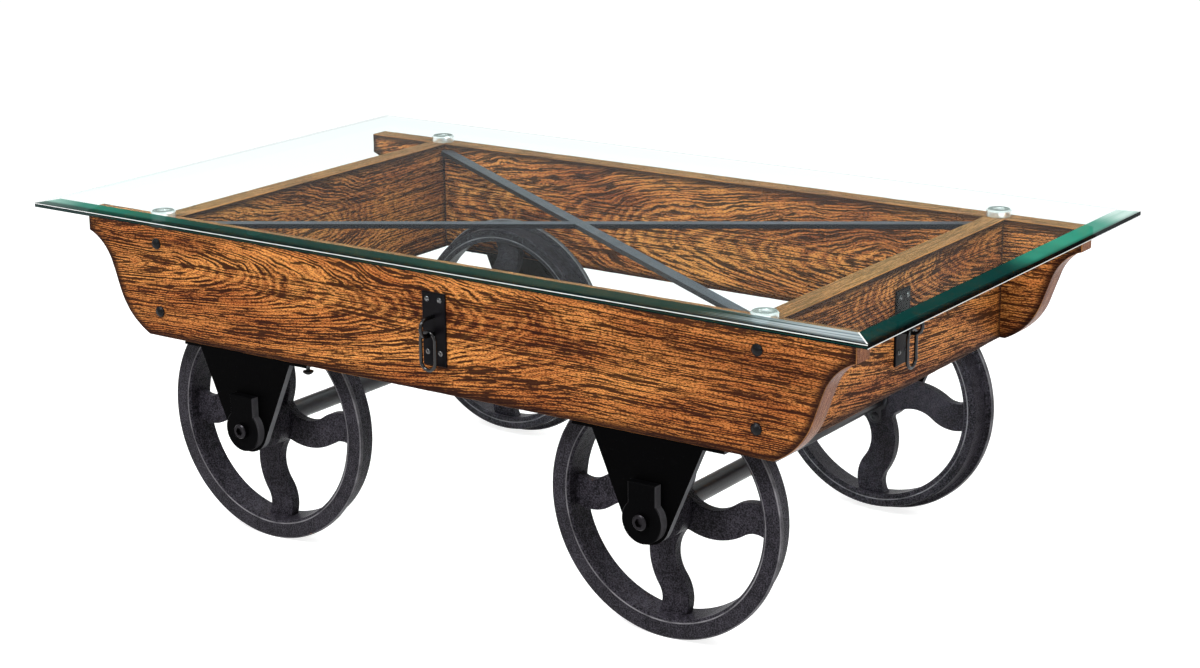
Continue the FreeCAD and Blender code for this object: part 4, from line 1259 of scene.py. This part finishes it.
@dataclass(frozen=True)
class Lamp:
    """A square soft lamp."""

    name: str
    place: Place
    aim: Place
    side: float
    power: float
    colour: Colour = WHITE

    def build(self) -> None:
        """Adds the lamp, turned towards its aim."""
        data = bpy.data.lights.new(self.name, "AREA")
        data.shape = "SQUARE"
        data.size = self.side
        data.energy = self.power
        data.color = self.colour
        lamp = bpy.data.objects.new(self.name, data)
        lamp.location = self.place
        way = Vector(self.aim) - Vector(self.place)
        lamp.rotation_euler = way.to_track_quat("-Z", "Y").to_euler()
        bpy.context.scene.collection.objects.link(lamp)


@dataclass
class Studio:
    """A pale floor, a white surround and soft lamps."""

    floor_side: float = 60.0
    surround: float = 0.28
    floor_colour: Colour = (0.50, 0.50, 0.50)
    floor_glow: float = 0.85
    lamps: tuple[Lamp, ...] = (
        Lamp("key_lamp", (-0.5, -2.7, 3.4), (0.0, -0.2, 0.3), 1.4, 190.0),
        Lamp("side_lamp", (3.0, -0.9, 3.0), (0.2, 0.0, 0.3), 1.4, 110.0),
        Lamp("top_lamp", (0.0, 1.2, 3.4), (0.0, 0.0, 0.3), 2.0, 30.0),
    )

    def build(self) -> None:
        """Adds the floor, the surround and the lamps."""
        self.build_floor()
        self.build_surround()
        for lamp in self.lamps:
            lamp.build()

    def build_floor(self) -> None:
        """A wide floor that glows a little to the camera, so that it shows white but keeps the shadow."""
        mesh = bmesh.new()
        bmesh.ops.create_grid(mesh, x_segments=2, y_segments=2, size=self.floor_side / 2)
        data = bpy.data.meshes.new("studio_floor")
        mesh.to_mesh(data)
        mesh.free()
        graph = new_graph("floor_paper")
        matt = graph.out(graph.node("ShaderNodeBsdfDiffuse", None, {"Color": self.floor_colour}))
        glow = graph.out(graph.node("ShaderNodeEmission", None, {"Strength": self.floor_glow}))
        lit = graph.out(graph.node("ShaderNodeAddShader", None, {0: matt, 1: glow}))
        graph.finish(graph.mix_shaders(self.seen(graph), matt, lit))
        data.materials.append(graph.owner)
        floor = bpy.data.objects.new("studio_floor", data)
        bpy.context.scene.collection.objects.link(floor)

    @staticmethod
    def seen(graph: Graph) -> Signal:
        """Picks out the rays that show the background: from the camera, or by gloss or glass.

        Args:
            graph: The tree to build in.

        Returns:
            1 for such a ray, 0 for one that lights something.
        """
        path = graph.node("ShaderNodeLightPath")
        kinds = ("Is Camera Ray", "Is Glossy Ray", "Is Transmission Ray")
        shown = reduce(Signal.most, (graph.out(path, kind) for kind in kinds))
        return shown * (1.0 - graph.out(path, "Diffuse Depth")).most(0.0)

    def build_surround(self) -> None:
        """A white world that lights the object more softly than it shows."""
        world = bpy.data.worlds.new("studio_surround")
        bpy.context.scene.world = world
        graph = Graph(world)
        light = graph.out(graph.node("ShaderNodeBackground", None, {"Strength": self.surround}))
        white = graph.out(graph.node("ShaderNodeBackground", None, {"Color": WHITE, "Strength": 1.0}))
        graph.finish(graph.mix_shaders(self.seen(graph), light, white))


@dataclass
class PhotographCamera:
    """The camera that sees the table as the photograph does."""

    place: Place = (1.73809, -2.48293, 1.11657)
    azimuth: float = 0.60243
    elevation: float = 0.27676
    roll: float = -0.0076
    lens: float = 72.95
    sensor: float = 36.0
    nearest: float = 0.05
    farthest: float = 200.0

    def build(self) -> None:
        """Adds the camera and makes it the scene's own."""
        back = Vector((
            math.sin(self.azimuth) * math.cos(self.elevation),
            -math.cos(self.azimuth) * math.cos(self.elevation),
            math.sin(self.elevation)))
        right = Vector((math.cos(self.azimuth), math.sin(self.azimuth), 0.0))
        up = back.cross(right)
        across = math.cos(self.roll) * right + math.sin(self.roll) * up
        above = math.cos(self.roll) * up - math.sin(self.roll) * right
        data = bpy.data.cameras.new("photograph_camera")
        data.sensor_fit = "HORIZONTAL"
        data.sensor_width = self.sensor
        data.lens = self.lens
        data.clip_start = self.nearest
        data.clip_end = self.farthest
        camera = bpy.data.objects.new("photograph_camera", data)
        turn = Matrix((across, above, back)).transposed().to_4x4()
        camera.matrix_world = Matrix.Translation(self.place) @ turn
        bpy.context.scene.collection.objects.link(camera)
        bpy.context.scene.camera = camera


# The run


def main() -> None:
    """Builds the camera, the studio and each sub-assembly in order."""
    logging.basicConfig(level=logging.INFO, format="%(message)s")
    bpy.context.scene.view_settings.view_transform = "Standard"
    PhotographCamera().build()
    Studio().build()
    for part in (WoodenFrame(), GlassTop(), RunningGear(), HookSets()):
        part.build()
        LOG.info("%s is done", type(part).__name__)


if __name__ == "__main__":
    main()
